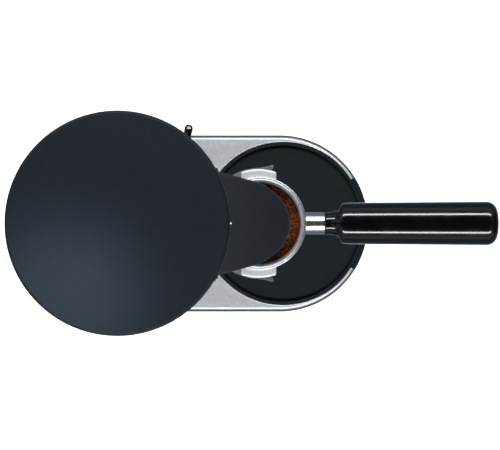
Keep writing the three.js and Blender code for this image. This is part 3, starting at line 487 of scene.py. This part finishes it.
lid = surface("hopper_lid_disc", spun(lid_profile(), (TOWER_X, 0, 0), 256))
settle(lid, "lid", "lid_plastic", lid_abs, "hopper_lid")

# %% [markdown]
# The base is a long plate with round ends. The round well for the tray is cut into its front, and a gap
# in the rim lets the tray's lip through. Rays from the well's axis meet both the outline and the well,
# so rows of points between the two, each with its own height, make the whole casting in one surface.

# %% Base outline
BASE_LOW, BASE_HIGH = span("base_casting")
BASE_RADIUS = (BASE_HIGH[1] - BASE_LOW[1]) / 2
BASE_FRONT_X = BASE_HIGH[0] - BASE_RADIUS
TRAY_GAP = 0.4  # between the tray and its well
WELL_RADIUS = span("catch_tray")[1][1] + TRAY_GAP
PEDESTAL_RADIUS = (span("tower_shell")[1][1] - span("tower_shell")[0][1]) / 2 + 0.3
WELL_FLOOR = 13.0  # its height
LIP_ANGLE = math.radians(33)  # to each side of straight ahead
LIP_STEP = 0.0006  # the lip's ends are this thin, in radians, so that they stand upright


def ray_angles(count=720):
    """Angles round the tray's axis, with a pair at each end of the lip."""
    even = np.linspace(-np.pi, np.pi, count, endpoint=False)
    ends = np.array([-1, 1])[:, None] * (LIP_ANGLE + np.array([-LIP_STEP, LIP_STEP]))
    return np.sort(np.concatenate([even, ends.ravel()]))


def circle_hits(angle, centre_x, radius):
    """Distance along each ray to the near and to the far side of a circle on the X axis, or infinity
    where the ray misses it. A circle behind the ray has no near side."""
    offset = centre_x - TRAY_X
    half = offset * np.cos(angle)
    inside = half ** 2 - offset ** 2 + radius ** 2
    root = np.sqrt(np.maximum(inside, 0))
    near = np.where((inside > 0) & (half > 0), half - root, np.inf)
    far = np.where(inside > 0, half + root, np.inf)
    return near, far


def on_ray(angle, distance):
    """The points in plan at these distances from the tray's axis."""
    return np.stack([TRAY_X + distance * np.cos(angle), distance * np.sin(angle)], axis=-1)


def level(plan, height):
    """Points in plan, all lifted to one height or each to its own."""
    return np.column_stack([plan, np.broadcast_to(height, len(plan))])


def base_edge(angle):
    """The stadium outline where each ray leaves it, and its outward direction there."""
    side = BASE_RADIUS / np.maximum(np.abs(np.sin(angle)), TINY)
    x = TRAY_X + side * np.cos(angle)
    front = circle_hits(angle, BASE_FRONT_X, BASE_RADIUS)[1]
    rear = circle_hits(angle, TOWER_X, BASE_RADIUS)[1]
    reach = np.where(x > BASE_FRONT_X, front, np.where(x < TOWER_X, rear, side))
    point = on_ray(angle, reach)
    nearest = np.clip(point[:, 0], TOWER_X, BASE_FRONT_X)
    outward = np.stack([point[:, 0] - nearest, point[:, 1]], axis=-1)
    return point, outward / np.linalg.norm(outward, axis=1, keepdims=True)


# %% Base casting
def base_points():
    """Rows from the middle of the underside, out and up over the rim, in to the well and its floor."""
    angle = ray_angles()
    edge, outward = base_edge(angle)
    well = np.minimum(WELL_RADIUS, circle_hits(angle, TOWER_X, PEDESTAL_RADIUS)[0])
    in_lip = np.abs(angle) < LIP_ANGLE
    low, top = BASE_LOW[2], BASE_HIGH[2]
    underside = low + 4.2
    # inset from the outline and height: underside, groove for the skirt, wall and rounded rim
    outer = [(4.0, underside), (4.0, low), (1.2, low), (1.2, low + 4.0), (0.2, low + 4.0), (0.0, low + 4.3),
             (0.0, top - 2.2), (0.1, top - 1.5), (0.35, top - 0.9), (0.75, top - 0.45), (1.2, top - 0.17),
             (1.7, top - 0.04), (2.2, top)]
    # outset from the well and height: rounded inner rim, and the well's wall
    inner = [(0.9, top), (0.5, top - 0.08), (0.2, top - 0.3), (0.05, top - 0.6), (0.0, top - 1.0),
             (0.0, WELL_FLOOR)]
    plans = [(edge - outward * inset, z) for inset, z in outer]
    plans += [(on_ray(angle, well + outset), z) for outset, z in inner]
    middle_of_all = on_ray(angle, 0.0 * angle)
    rows = [level(middle_of_all, underside)]
    rows += [level(plan, np.where(in_lip, min(z, WELL_FLOOR), z)) for plan, z in plans]
    return np.stack(rows + [level(middle_of_all, WELL_FLOOR)])


base = surface("base_plate", base_points())
settle(base, "body", "cast_aluminium", blasted, "base_casting")

# %% [markdown]
# A soft grey band sits round the casting's lower edge and stands a little proud, so the base gets a thin
# dark outline: painted shade for the contact shadow along the base's edge. Its small closed cross-section
# is carried round a stadium.


# %% Base skirt
def stadium_path(radius, count=720):
    """Points and outward directions round a stadium: the nearest point of its middle line plus the
    radius times the direction of an angle that runs evenly round."""
    angle = np.linspace(0, 2 * np.pi, count, endpoint=False)
    outward = np.column_stack([np.cos(angle), np.sin(angle)])
    centre_x = np.where(outward[:, 0] > 0, BASE_FRONT_X, TOWER_X)
    return np.column_stack([centre_x, np.zeros(count)]) + radius * outward, outward


def skirt_points():
    """A rounded rectangle of distance from the outline and height, carried round the stadium."""
    low, high = span("base_skirt")
    inner, outer = -0.9, high[1] - BASE_RADIUS
    corners = [[inner, low[2]], [outer, low[2]], [outer, high[2]], [inner, high[2]]]
    section = rounded(corners, 0.5, closed=True)
    path, outward = stadium_path(BASE_RADIUS)
    plan = path[None] + section[:, :1, None] * outward[None]
    rise = np.repeat(section[:, 1][:, None, None], len(path), axis=1)
    return np.concatenate([plan, rise], axis=-1)


# The band's grey outline is painted shade for the contact shadow along the base's edge.
skirt = surface("base_painted_shadow_band", skirt_points(), closed=True)
settle(skirt, "body", "rubber", painted_shadow_elastomer, "base_skirt")

# %% [markdown]
# The tray is a shallow dish that fills the well. Its rim stands a little proud, a narrow groove runs round
# its floor, and at the front a lip runs out to the edge of the base, as a grip for lifting it. The same
# rays serve again: the lip is the stretch between the dish's rim and the base's outline.


# %% Catch tray
LIP_CLEARANCE = 0.008  # radians between each end of the lip and the casting
FLOOR_DEPTH = 3.0  # of the dish below its rim
FLOOR_SAG = 0.4  # further down in the middle
FLOOR_INSET = 6.0  # from the rim to where the floor starts to fall
PEDESTAL_GAP = 0.5  # between the tray and the tower's foot
LIP_BACK = 0.3  # the lip ends this far inside the skirt's outline


def tray_points():
    """Rows from under the middle, out to the edge, over the lip and rim, and down into the dish."""
    angle = ray_angles()
    rim = np.minimum(WELL_RADIUS - TRAY_GAP, circle_hits(angle, TOWER_X, PEDESTAL_RADIUS + PEDESTAL_GAP)[0])
    lip_end = circle_hits(angle, BASE_FRONT_X, span("base_skirt")[1][1] - LIP_BACK)[1]
    in_lip = np.abs(angle) < LIP_ANGLE - LIP_CLEARANCE
    edge = np.where(in_lip, lip_end, rim)
    low, top = span("catch_tray")[0][2], span("catch_tray")[1][2]
    lip_top = top - 1.0
    # inset from the lip's end and height: the lip's rounded edge
    lip = [(0.5, low), (0.0, low + 0.5), (0.0, lip_top - 1.5), (0.2, lip_top - 0.8), (0.7, lip_top - 0.2),
           (1.5, lip_top)]
    # inset from the rim and height: up over the rim, down to a narrow groove, and up to the floor
    dish = [(-0.3, lip_top), (-0.04, lip_top + 0.08), (0.0, lip_top + 0.3), (0.08, top - 0.5),
            (0.35, top - 0.2), (0.8, top - 0.04), (1.2, top), (1.6, top - 0.06), (2.0, top - 0.28),
            (2.2, top - 0.7), (2.25, top - 3.6), (2.4, top - 3.8), (3.0, top - 3.8), (3.15, top - 3.6),
            (3.25, top - 3.12), (3.5, top - FLOOR_DEPTH), (FLOOR_INSET, top - FLOOR_DEPTH)]
    rows = [level(on_ray(angle, 0.0 * angle), low)]
    rows += [level(on_ray(angle, edge - np.where(in_lip, inset, 0.0)), z) for inset, z in lip]
    rows += [level(on_ray(angle, rim - np.where(in_lip, inset, max(inset, 0.0))), z) for inset, z in dish]
    for share in np.linspace(0.9, 0.0, 10):
        floor_z = top - FLOOR_DEPTH - FLOOR_SAG * (1 - share)
        rows.append(level(on_ray(angle, (rim - FLOOR_INSET) * share), floor_z))
    return np.stack(rows)


tray = surface("catch_tray_dish", tray_points())
settle(tray, "tray", "tray_plastic", tray_abs, "catch_tray")

# %% [markdown]
# The hood guides the falling grounds into the basket. In plan its straight flanks run into a round nose,
# and from the side its roof falls away, flat at first and then steeper. Offsetting the plan inwards while
# dropping the height by a quarter circle rounds the long edge. Solidify gives the moulding its wall.


# %% Chute hood
HOOD_LOW, HOOD_HIGH = span("chute_hood")
HOOD_WALL = 2.2
HOOD_EDGE = 2.6  # radius of the rounded edge
HEAD_RADIUS = 66.0  # of the head, at whose front the roof starts
ROOF_START = 235.0  # height of the roof there
ROOF_SLOPE = 0.346
ROOF_CURVE = 0.0115
NOSE_X = -4.0  # the straight flanks end here
NOSE_HALF = 30.6  # and the hood is this wide to each side
NOSE_START = 0.2  # the nose leaves out this share of its oval's length
NOSE_POWER = 1.5


def hood_roof(x):
    """The roof falls by ROOF_SLOPE times the distance from the head's front, plus ROOF_CURVE times its
    square, in millimetres."""
    run = x - TOWER_X - HEAD_RADIUS
    return ROOF_START - ROOF_SLOPE * run - ROOF_CURVE * run ** 2


def hood_plan(count=90):
    """Outline from one root round the nose to the other, and its outward direction. The flanks are
    straight, and the nose's half width is the root of (1 - t to the power NOSE_POWER) of its oval's,
    with t one at the tip."""
    tip = HOOD_HIGH[0]
    oval_length = (tip - NOSE_X) / (1 - NOSE_START)
    oval_half = NOSE_HALF / math.sqrt(1 - NOSE_START ** NOSE_POWER)
    turn = np.linspace(0, np.pi / 2, count)
    t = NOSE_START + (1 - NOSE_START) * np.sin(turn)
    nose_half = oval_half * np.sqrt(np.maximum(1 - t ** NOSE_POWER, 0))
    nose = np.column_stack([tip - oval_length * (1 - t), nose_half])
    share = np.linspace(0, 1, 24)[:-1, None]
    flank = np.array([HOOD_LOW[0], HOOD_HIGH[1]]) * (1 - share) + nose[0] * share
    half = np.vstack([flank, nose])
    outline = np.vstack([half * (1, -1), half[-2::-1]])
    tangent = np.gradient(outline, axis=0)
    outward = np.column_stack([tangent[:, 1], -tangent[:, 0]])
    return outline, outward / np.linalg.norm(outward, axis=1, keepdims=True)


def hood_points():
    """Rows from the lower edge up the wall, over the rounded edge, and in to the middle line."""
    outline, outward = hood_plan()
    rows = []
    for share in np.linspace(0, 1, 12):
        z = HOOD_LOW[2] + share * (hood_roof(outline[:, 0]) - HOOD_EDGE - HOOD_LOW[2])
        rows.append(np.column_stack([outline, z]))
    for bend in np.linspace(0, np.pi / 2, 8)[1:]:
        plan = outline - outward * HOOD_EDGE * (1 - math.cos(bend))
        plan[:, 0] = np.maximum(plan[:, 0], HOOD_LOW[0])
        z = hood_roof(plan[:, 0]) - HOOD_EDGE * (1 - math.sin(bend))
        rows.append(np.column_stack([plan, z]))
    for share in np.linspace(0, 1, 14)[1:]:
        inner = plan * np.array([1.0, 1 - share])
        rows.append(np.column_stack([inner, hood_roof(inner[:, 0])]))
    return np.stack(rows)


hood = surface("chute_hood_shell", hood_points(), around=False)
wall = hood.modifiers.new("wall", "SOLIDIFY")
wall.thickness = HOOD_WALL * MM
wall.offset = -1.0
settle(hood, "body", "hood_plastic", hood_abs, "chute_hood")

# %% [markdown]
# The portafilter's ring is one turned forging with the cup below it. The basket hangs in it by a rolled
# lip, so two bright circles show with a dark line between them. The neck has soft facets, each of which
# catches a whole band of light. All three are spun profiles. The two ears lock the ring into the fork.

# %% Ring and cup
CUP_RADIUS, RING_RADIUS = 33.2, 35.2
EAR_LOW = 138.8
EAR_REACH = span("portafilter_body")[1][1]
RING_TOP = span("portafilter_body")[1][2]
cup_outline = [[4, 118.2], [27, 118.0], [31, 120.5], [CUP_RADIUS, 123.5], [CUP_RADIUS, EAR_LOW],
               [RING_RADIUS, EAR_LOW + 0.2], [RING_RADIUS, RING_TOP], [31.6, RING_TOP - 0.1], [31.5, 123],
               [4, 122]]
cup_profile = rounded(cup_outline, [0.5, 3, 3, 2, 0.4, 0.6, 1.1, 0.6, 1, 0.5], 6, closed=True)
cup = surface("portafilter_cup", spun(cup_profile, (CUP_X, 0, 0)), closed=True)
settle(cup, "portafilter", "polished_steel", satin_chrome, "portafilter_body")

# %% Basket
basket_outline = [[0, 124.5], [29.6, 124.5], [31.2, 128], [31.2, 150.3], [33.7, 150.3], [33.7, 151.4],
                  [32.4, 151.75], [30.9, 151.4], [30.4, 150.2], [30.4, 128.2], [29, 125.4], [0, 125.4]]
basket_reach = [0, 1.5, 1.5, 0.2, 0.4, 0.4, 1.0, 0.4, 0.4, 1.5, 1.5, 0]
basket = surface("filter_basket_shell", spun(rounded(basket_outline, basket_reach, 6), (CUP_X, 0, 0)))
settle(basket, "portafilter", "polished_steel", rim_steel, "filter_basket")


# %% Ears and neck
EAR_INNER = 34.0
EAR_TOP = 145.5
EAR_HALF_WIDTH = 13.4
EAR_BACK = 0.8  # the ears sit this far behind the cup's axis
EAR_CORNER = 1.2
EAR_TUCK = 1.3  # how far their ends draw in


def ear_points(side):
    """A rounded rectangle of radius and height, carried round the cup's axis for the ear's width. It
    draws in a little at both ends, which rounds them."""
    corners = [[EAR_INNER, EAR_LOW], [EAR_REACH, EAR_LOW], [EAR_REACH, EAR_TOP], [EAR_INNER, EAR_TOP]]
    radius, rise = rounded(corners, EAR_CORNER, closed=True).T
    share = np.array([-1, -0.985, -0.95, -0.9, -0.6, -0.3, 0, 0.3, 0.6, 0.9, 0.95, 0.985, 1])
    tuck = EAR_TUCK * np.array([1, 0.55, 0.2, 0, 0, 0, 0, 0, 0, 0, 0.2, 0.55, 1])[:, None]
    reach = np.minimum(radius[None, :], EAR_REACH - tuck)
    x = np.repeat(EAR_HALF_WIDTH * share[:, None], len(radius), axis=1)
    y = side * np.sqrt(reach ** 2 - x ** 2)
    z = np.clip(np.repeat(rise[None, :], len(share), axis=0), EAR_LOW + tuck * 0.5, EAR_TOP - tuck * 0.5)
    return carried(np.stack([CUP_X - EAR_BACK + x, y, z], axis=-1))


for side, name in ((1, "left"), (-1, "right")):
    ear = surface(f"portafilter_ear_{name}", ear_points(side))
    settle(ear, "portafilter", "polished_steel", tumbled)

HANDLE_START = span("portafilter_handle")[0][0]
HANDLE_END = span("portafilter_handle")[1][0]
NECK_Z = middle("portafilter_handle")[2]
NECK_START = CUP_X + 31.6
NECK_RADIUS = 8.3
FACETS = 14
FACET_SHARE = 0.5  # 0 is round, and 1 is flat facets


def neck_points():
    """A spun profile with soft facets: each radius grows by FACET_SHARE (1 / cos d - 1), where d is the
    angle to the middle of the nearest facet."""
    outline = [[0, NECK_START], [NECK_RADIUS + 0.2, NECK_START], [NECK_RADIUS, NECK_START + 2.6],
               [NECK_RADIUS, HANDLE_START - 0.5], [0, HANDLE_START - 0.3]]
    columns = 20 * FACETS
    points = spun(rounded(outline, [0, 0.3, 1.0, 0.5, 0], 6), (0, 0, 0), columns, along="x")
    angle = np.linspace(0, 2 * np.pi, columns, endpoint=False) - np.pi / 2
    half = np.pi / FACETS
    off = np.mod(angle + half, 2 * half) - half
    points[..., 1:] *= (1 + FACET_SHARE * (1 / np.cos(off) - 1))[:, None]
    return points + np.array([0, 0, NECK_Z])


neck = surface("portafilter_neck", neck_points(), sharp=50)
settle(neck, "portafilter", "polished_steel", neck_chrome)


# %% [markdown]
# The handle starts as a narrow collar, flares in a hollow curve and becomes a long grip that widens a
# little towards its round end. It is spun about its own level axis.

# %% Handle
GRIP_START = 16.5  # from the handle's own start
GRIP_RADIUS, GRIP_GROWTH = 15.8, 0.8  # at its start, and by how much it widens to its end
DOME_LENGTH = 9.0
DOME_POWER = 0.62  # 1 would be half an ellipse, and less is squarer


def handle_profile():
    """Radius against distance along the grip: collar, flare, body and dome. The dome's radius is a power
    of the cosine of an angle whose sine runs along it."""
    body_end = HANDLE_END - HANDLE_START - DOME_LENGTH
    flare = [[0, 0.2], [8.45, 0.2], [8.6, 3.6], [9.9, 8.2], [13.9, 11.0], [15.5, 13.0],
             [GRIP_RADIUS, GRIP_START + 1]]
    collar = rounded(flare, [0, 0.3, 2.0, 1.6, 1.4, 1.2, 0], 9)
    share = np.linspace(0, 1, 24)[1:, None]
    body = np.hstack([GRIP_RADIUS + GRIP_GROWTH * share, GRIP_START + (body_end - GRIP_START) * share])
    turn = np.linspace(0, np.pi / 2, 20)[1:, None]
    end_radius = GRIP_RADIUS + GRIP_GROWTH
    dome = np.hstack([end_radius * np.cos(turn) ** DOME_POWER, body_end + DOME_LENGTH * np.sin(turn)])
    profile = np.vstack([collar, body, dome])
    profile[-1, 0] = 0.0
    return profile + np.array([0.0, HANDLE_START])


handle = surface("portafilter_grip", spun(handle_profile(), (0, 0, NECK_Z), 160, along="x"), sharp=50)
settle(handle, "portafilter", "grip_plastic", phenolic, "portafilter_handle")


# %% [markdown]
# The heap of coffee is a low mound. Random heights of a few tenths of a millimetre at every point of a
# fine grid give real grains, which cast real shadows. The seed is fixed, so each run gives the same heap.

# %% Ground coffee heap
HEAP_RADIUS = 30.1
HEAP_BOTTOM = 127.0
HEAP_EDGE = 142.6  # height at the basket's wall
HEAP_RISE = 3.0  # higher in the middle
LUMP_RISE = 0.5
GRAIN_RISE = 0.42


def heap_points():
    """A mound over polar points, with slow lumps made of sines and a random height for every point,
    closed below by a flat disc."""
    rng = np.random.default_rng(7)
    rings, turns = 90, 300
    share = np.linspace(0, 1, rings)[:, None]
    angle = np.linspace(0, 2 * np.pi, turns, endpoint=False)[None, :]
    mound = HEAP_EDGE + HEAP_RISE * np.cos(share * np.pi / 2) ** 1.4
    lumps = LUMP_RISE * np.sin(5 * angle + 9 * share) * np.sin(7 * share * np.pi) * share
    grains = rng.uniform(-GRAIN_RISE, GRAIN_RISE, (rings, turns)) * np.minimum(1, 6 * share)
    height = mound + lumps + grains
    height[0] = height[0].mean()
    radius = HEAP_RADIUS * share * np.ones_like(angle)
    top = np.stack([radius * np.cos(angle), radius * np.sin(angle), height], axis=-1)
    wall = top[-1:].copy()
    wall[..., 2] = HEAP_BOTTOM
    bottom = np.zeros_like(wall)
    bottom[..., 2] = HEAP_BOTTOM
    return np.concatenate([top, wall, bottom]) + np.array([CUP_X, 0, 0])


heap = surface("ground_coffee_heap", heap_points(), sharp=60)
settle(heap, "portafilter", "coffee", grounds, "ground_coffee")

# %% [markdown]
# The smoked hopper is one moulding: a neck that drops into the collar, a shoulder, a cone and a straight
# collar for the lid. The adjusting collar under it has shallow flutes for the fingers, made by letting
# the radius ripple with the angle where the wall is straight.

# %% Hopper
HOPPER_LOW, HOPPER_HIGH = span("hopper")
HOPPER_RADIUS = (HOPPER_HIGH[0] - HOPPER_LOW[0]) / 2
HOPPER_WALL = 2.2
HOPPER_INNER = HOPPER_RADIUS - HOPPER_WALL
SHOULDER = 280.3  # height at which the neck widens
CONE_TOP = 342
hopper_outline = [[35.3, HOPPER_LOW[2]], [37.5, HOPPER_LOW[2]], [37.5, SHOULDER], [52, SHOULDER],
                  [54, SHOULDER + 2.5], [HOPPER_RADIUS, CONE_TOP], [HOPPER_RADIUS, HOPPER_HIGH[2]],
                  [HOPPER_INNER, HOPPER_HIGH[2]], [HOPPER_INNER, CONE_TOP + 0.4], [51.6, SHOULDER + 4.2],
                  [50.6, SHOULDER + HOPPER_WALL], [35.3, SHOULDER + HOPPER_WALL]]
hopper_reach = [0.8, 0.8, 0.5, 1.2, 2, 8, 0.9, 0.9, 8, 2, 1, 1.5]
hopper_profile = rounded(hopper_outline, hopper_reach, 6, closed=True)
hopper = surface("smoked_hopper", spun(hopper_profile, (TOWER_X, 0, 0)), closed=True)
settle(hopper, "hopper", "smoked_plastic", smoked, "hopper")


# %% Adjusting collar
COLLAR_BORE = 47.6
BAND_INSET = 0.6  # the fluted band lies this far inside the collar's edge
FLUTES = 48
FLUTE_DEPTH = 0.55


def collar_points():
    """A spun ring whose outer wall has a band of shallow flutes, where the radius is less by FLUTE_DEPTH
    times the squared cosine of half of FLUTES times the angle."""
    low, high = span("adjusting_collar")
    edge, bottom, top = (high[0] - low[0]) / 2, low[2], high[2]
    band_radius = edge - BAND_INSET
    outline = [[COLLAR_BORE, bottom], [edge, bottom], [edge, bottom + 3.5], [band_radius, bottom + 4.5],
               [band_radius, top - 3.5], [edge, top - 2.8], [edge - 1.5, top], [COLLAR_BORE, top]]
    profile = rounded(outline, [0.5, 0.6, 0.4, 0.4, 0.4, 0.4, 1.0, 0.5], closed=True)
    columns = 12 * FLUTES
    points = spun(profile, (0, 0, 0), columns)
    angle = np.linspace(0, 2 * np.pi, columns, endpoint=False)
    radius, rise = profile.T
    between = (rise > bottom + 4.6) & (rise < top - 3.6)
    band = (between | (np.abs(radius - band_radius) < 0.02)) & (radius > edge - 1)
    ripple = 1 - band[:, None] * FLUTE_DEPTH * np.cos(FLUTES / 2 * angle) ** 2 / edge
    points[..., :2] *= ripple[..., None]
    return points + np.array([TOWER_X, 0, 0])


collar = surface("fluted_adjusting_collar", collar_points(), closed=True)
settle(collar, "collar", "hood_plastic", hood_abs, "adjusting_collar")


# %% [markdown]
# The grind lever's knob is a slim black sleeve with a domed end on a chromed rod. Its axis is level and
# leaves the collar at a slant, so a spun profile is turned to lie along it. A white dot let into its
# top near the end is a painted highlight: it draws the glint on the knob's tip.

# %% Lever
LEVER_ANGLE = math.radians(78.3)  # in plan, from straight ahead
LEVER_WAY = np.array([math.cos(LEVER_ANGLE), math.sin(LEVER_ANGLE), 0.0])
knob_far = span("lever_knob")[1]
# the end of the knob's axis, which lies a little inside the far corner of its box
KNOB_END = np.array([knob_far[0] - 2.26, knob_far[1] - 0.6, middle("lever_rod")[2]])
KNOB_LENGTH = 20.4
DOT_BACK = 2.8  # from the knob's end to the dot's middle
DOT_SQUEEZE = 0.62  # the dot's length along the lever, over its width
sleeve_outline = [[0, 3], [1.75, 3], [1.75, 0], [2.2, 0], [2.5, 9], [3.0, 16.4], [2.9, 18.6], [1.9, 20.1],
                  [0, KNOB_LENGTH]]
SLEEVE = rounded(sleeve_outline, [0, 0.1, 0.1, 0.1, 4, 1.6, 1.0, 1.0, 0], 7)


def along_lever(profile):
    """Radius against distance along the knob, spun about a level line, which is then turned in plan by
    the lever's angle, with its end where the CAD knob's end is."""
    points = spun(profile, (-KNOB_LENGTH, 0, 0), 64, along="x")
    forward, across, rise = np.moveaxis(points, -1, 0)
    x = forward * math.cos(LEVER_ANGLE) - across * math.sin(LEVER_ANGLE)
    y = forward * math.sin(LEVER_ANGLE) + across * math.cos(LEVER_ANGLE)
    return np.stack([x, y, rise], axis=-1) + KNOB_END


knob = surface("grind_lever_knob", along_lever(SLEEVE))
settle(knob, "collar", "switch_plastic", phenolic, "lever_knob")


def painted_glint_dot():
    """A painted highlight for the glint near the knob's end: a low white dome let into the top of the
    sleeve, a spun profile, wider across the lever than along it.
    """
    dome = rounded([[0, 1.4], [1.5, 1.4], [1.5, 2.75], [0, 3.1]], [0, 0.1, 0.25, 0], 6)
    return spun(dome, (0, 0, 0), 40) * np.array([1.0, DOT_SQUEEZE, 1.0]) + KNOB_END - DOT_BACK * LEVER_WAY


# Painted highlight: a white dot where the knob's end shows a glint.
dot = surface("grind_lever_painted_glint", painted_glint_dot())
settle(dot, "collar", "lamp_white", painted_glint_white)

# %% [markdown]
# The lamp is a small domed lens. The feet are bell-shaped rubber mouldings with a recess for the screw.

# %% Lamp and feet
LAMP_RADIUS = 0.9
lamp_x, lamp_top = middle("indicator_lamp")[0], span("indicator_lamp")[1][2]
lens_outline = [[0, lamp_top - 6], [LAMP_RADIUS, lamp_top - 6], [LAMP_RADIUS, lamp_top - 0.5],
                [0.6, lamp_top + 0.2], [0, lamp_top + 0.3]]
lens_profile = rounded(lens_outline, [0, 0.2, 0.5, 0.5, 0], 6)
lens = surface("indicator_lamp_lens", spun(lens_profile, (lamp_x, 0, 0), 48))
settle(lens, "body", "lamp_white", opal, "indicator_lamp")

FOOT_CORNERS = ("rear_left", "rear_right", "front_left", "front_right")
foot_outline = [[2.0, 3.9], [4.6, 3.9], [4.6, 0], [8.5, 0], [9.6, 1.4], [10.5, 5.7], [2.0, 5.7]]
foot_profile = rounded(foot_outline, [0.2, 0.3, 0.5, 1.0, 1.4, 0.5, 0.2], 6, closed=True)
for corner in FOOT_CORNERS:
    x, y, _ = middle(f"foot_{corner}")
    foot = surface(f"rubber_foot_{corner}", spun(foot_profile, (x, y, 0), 72), closed=True)
    settle(foot, "body", "rubber", rubber, f"foot_{corner}")

# %% [markdown]
# The other CAD nodes already have the right shape. Their facets are welded, their corners get a small
# bevel where a moulding or casting would have one, and each takes the material it is made of.


# %% CAD nodes that stay
WELD_REACH = 0.01  # millimetres
BEVEL_FROM = math.radians(40)  # edges that bend by less get no bevel
SMOOTH_UP_TO = math.radians(30)  # edges that bend by more stay sharp


def dress(node, material, bevel):
    """Welds a CAD node's triangles, rounds its sharp edges by `bevel` millimetres and smooths the rest."""
    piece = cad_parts[node]
    mesh = piece.data
    custom = mesh.attributes.get("custom_normal")
    if custom:
        mesh.attributes.remove(custom)
    mesh.materials.clear()
    mesh.materials.append(material)
    mesh.polygons.foreach_set("use_smooth", np.ones(len(mesh.polygons), bool))
    weld = piece.modifiers.new("weld", "WELD")
    weld.merge_threshold = WELD_REACH * MM
    if bevel:
        edge = piece.modifiers.new("bevel", "BEVEL")
        edge.width = bevel * MM
        edge.segments = 2
        edge.limit_method = "ANGLE"
        edge.angle_limit = BEVEL_FROM
        edge.use_clamp_overlap = True
    split = piece.modifiers.new("split", "EDGE_SPLIT")
    split.split_angle = SMOOTH_UP_TO


STAYING = {  # material: (node, bevel in millimetres)
    blasted: [("motor_lower_bracket", 0), ("motor_upper_bracket", 0), ("grinding_chamber", 0),
              ("lower_burr_carrier", 0), ("upper_burr_carrier", 0)],
    as_cast: [("portafilter_fork", 0.5)],
    brushed: [("tower_shell", 0)],
    chrome: [("portafilter_spout", 0), ("lever_rod", 0), ("fork_screw_left", 0.3), ("fork_screw_right", 0.3),
             ("motor_shaft", 0), ("motor_lower_bearing", 0), ("motor_upper_bearing", 0),
             ("motor_tie_rod_front", 0), ("motor_tie_rod_rear", 0)],
    laminated: [("stator_core", 0), ("rotor_core", 0), ("bottom_plate", 0)],
    copper_wire: [("stator_winding_lower", 0), ("stator_winding_upper", 0)],
    brass: [("inlet_pin_live", 0.4), ("inlet_pin_neutral", 0.4), ("inlet_pin_earth", 0.4),
            ("burr_nut", 0.4)],
    ground_steel: [("lower_burr", 0), ("upper_burr", 0)],
    hood_abs: [("head_cover", 0.8), ("outlet_chute", 0)],
    lid_abs: [("run_capacitor", 0.5)],
    switch_abs: [("mains_inlet", 0.6), ("start_button", 0.4), ("micro_switch", 0.3), ("rocker_frame", 0.5),
                 ("power_rocker", 0.5), ("finger_guard", 0), ("cooling_fan", 0)],
    rubber: [("lid_seal", 0)],
}
for corner in FOOT_CORNERS:
    STAYING[chrome].append((f"foot_screw_{corner}", 0))
for material, nodes in STAYING.items():
    for node, bevel in nodes:
        dress(node, material, bevel)
print("CAD nodes that stay", sum(len(nodes) for nodes in STAYING.values()))
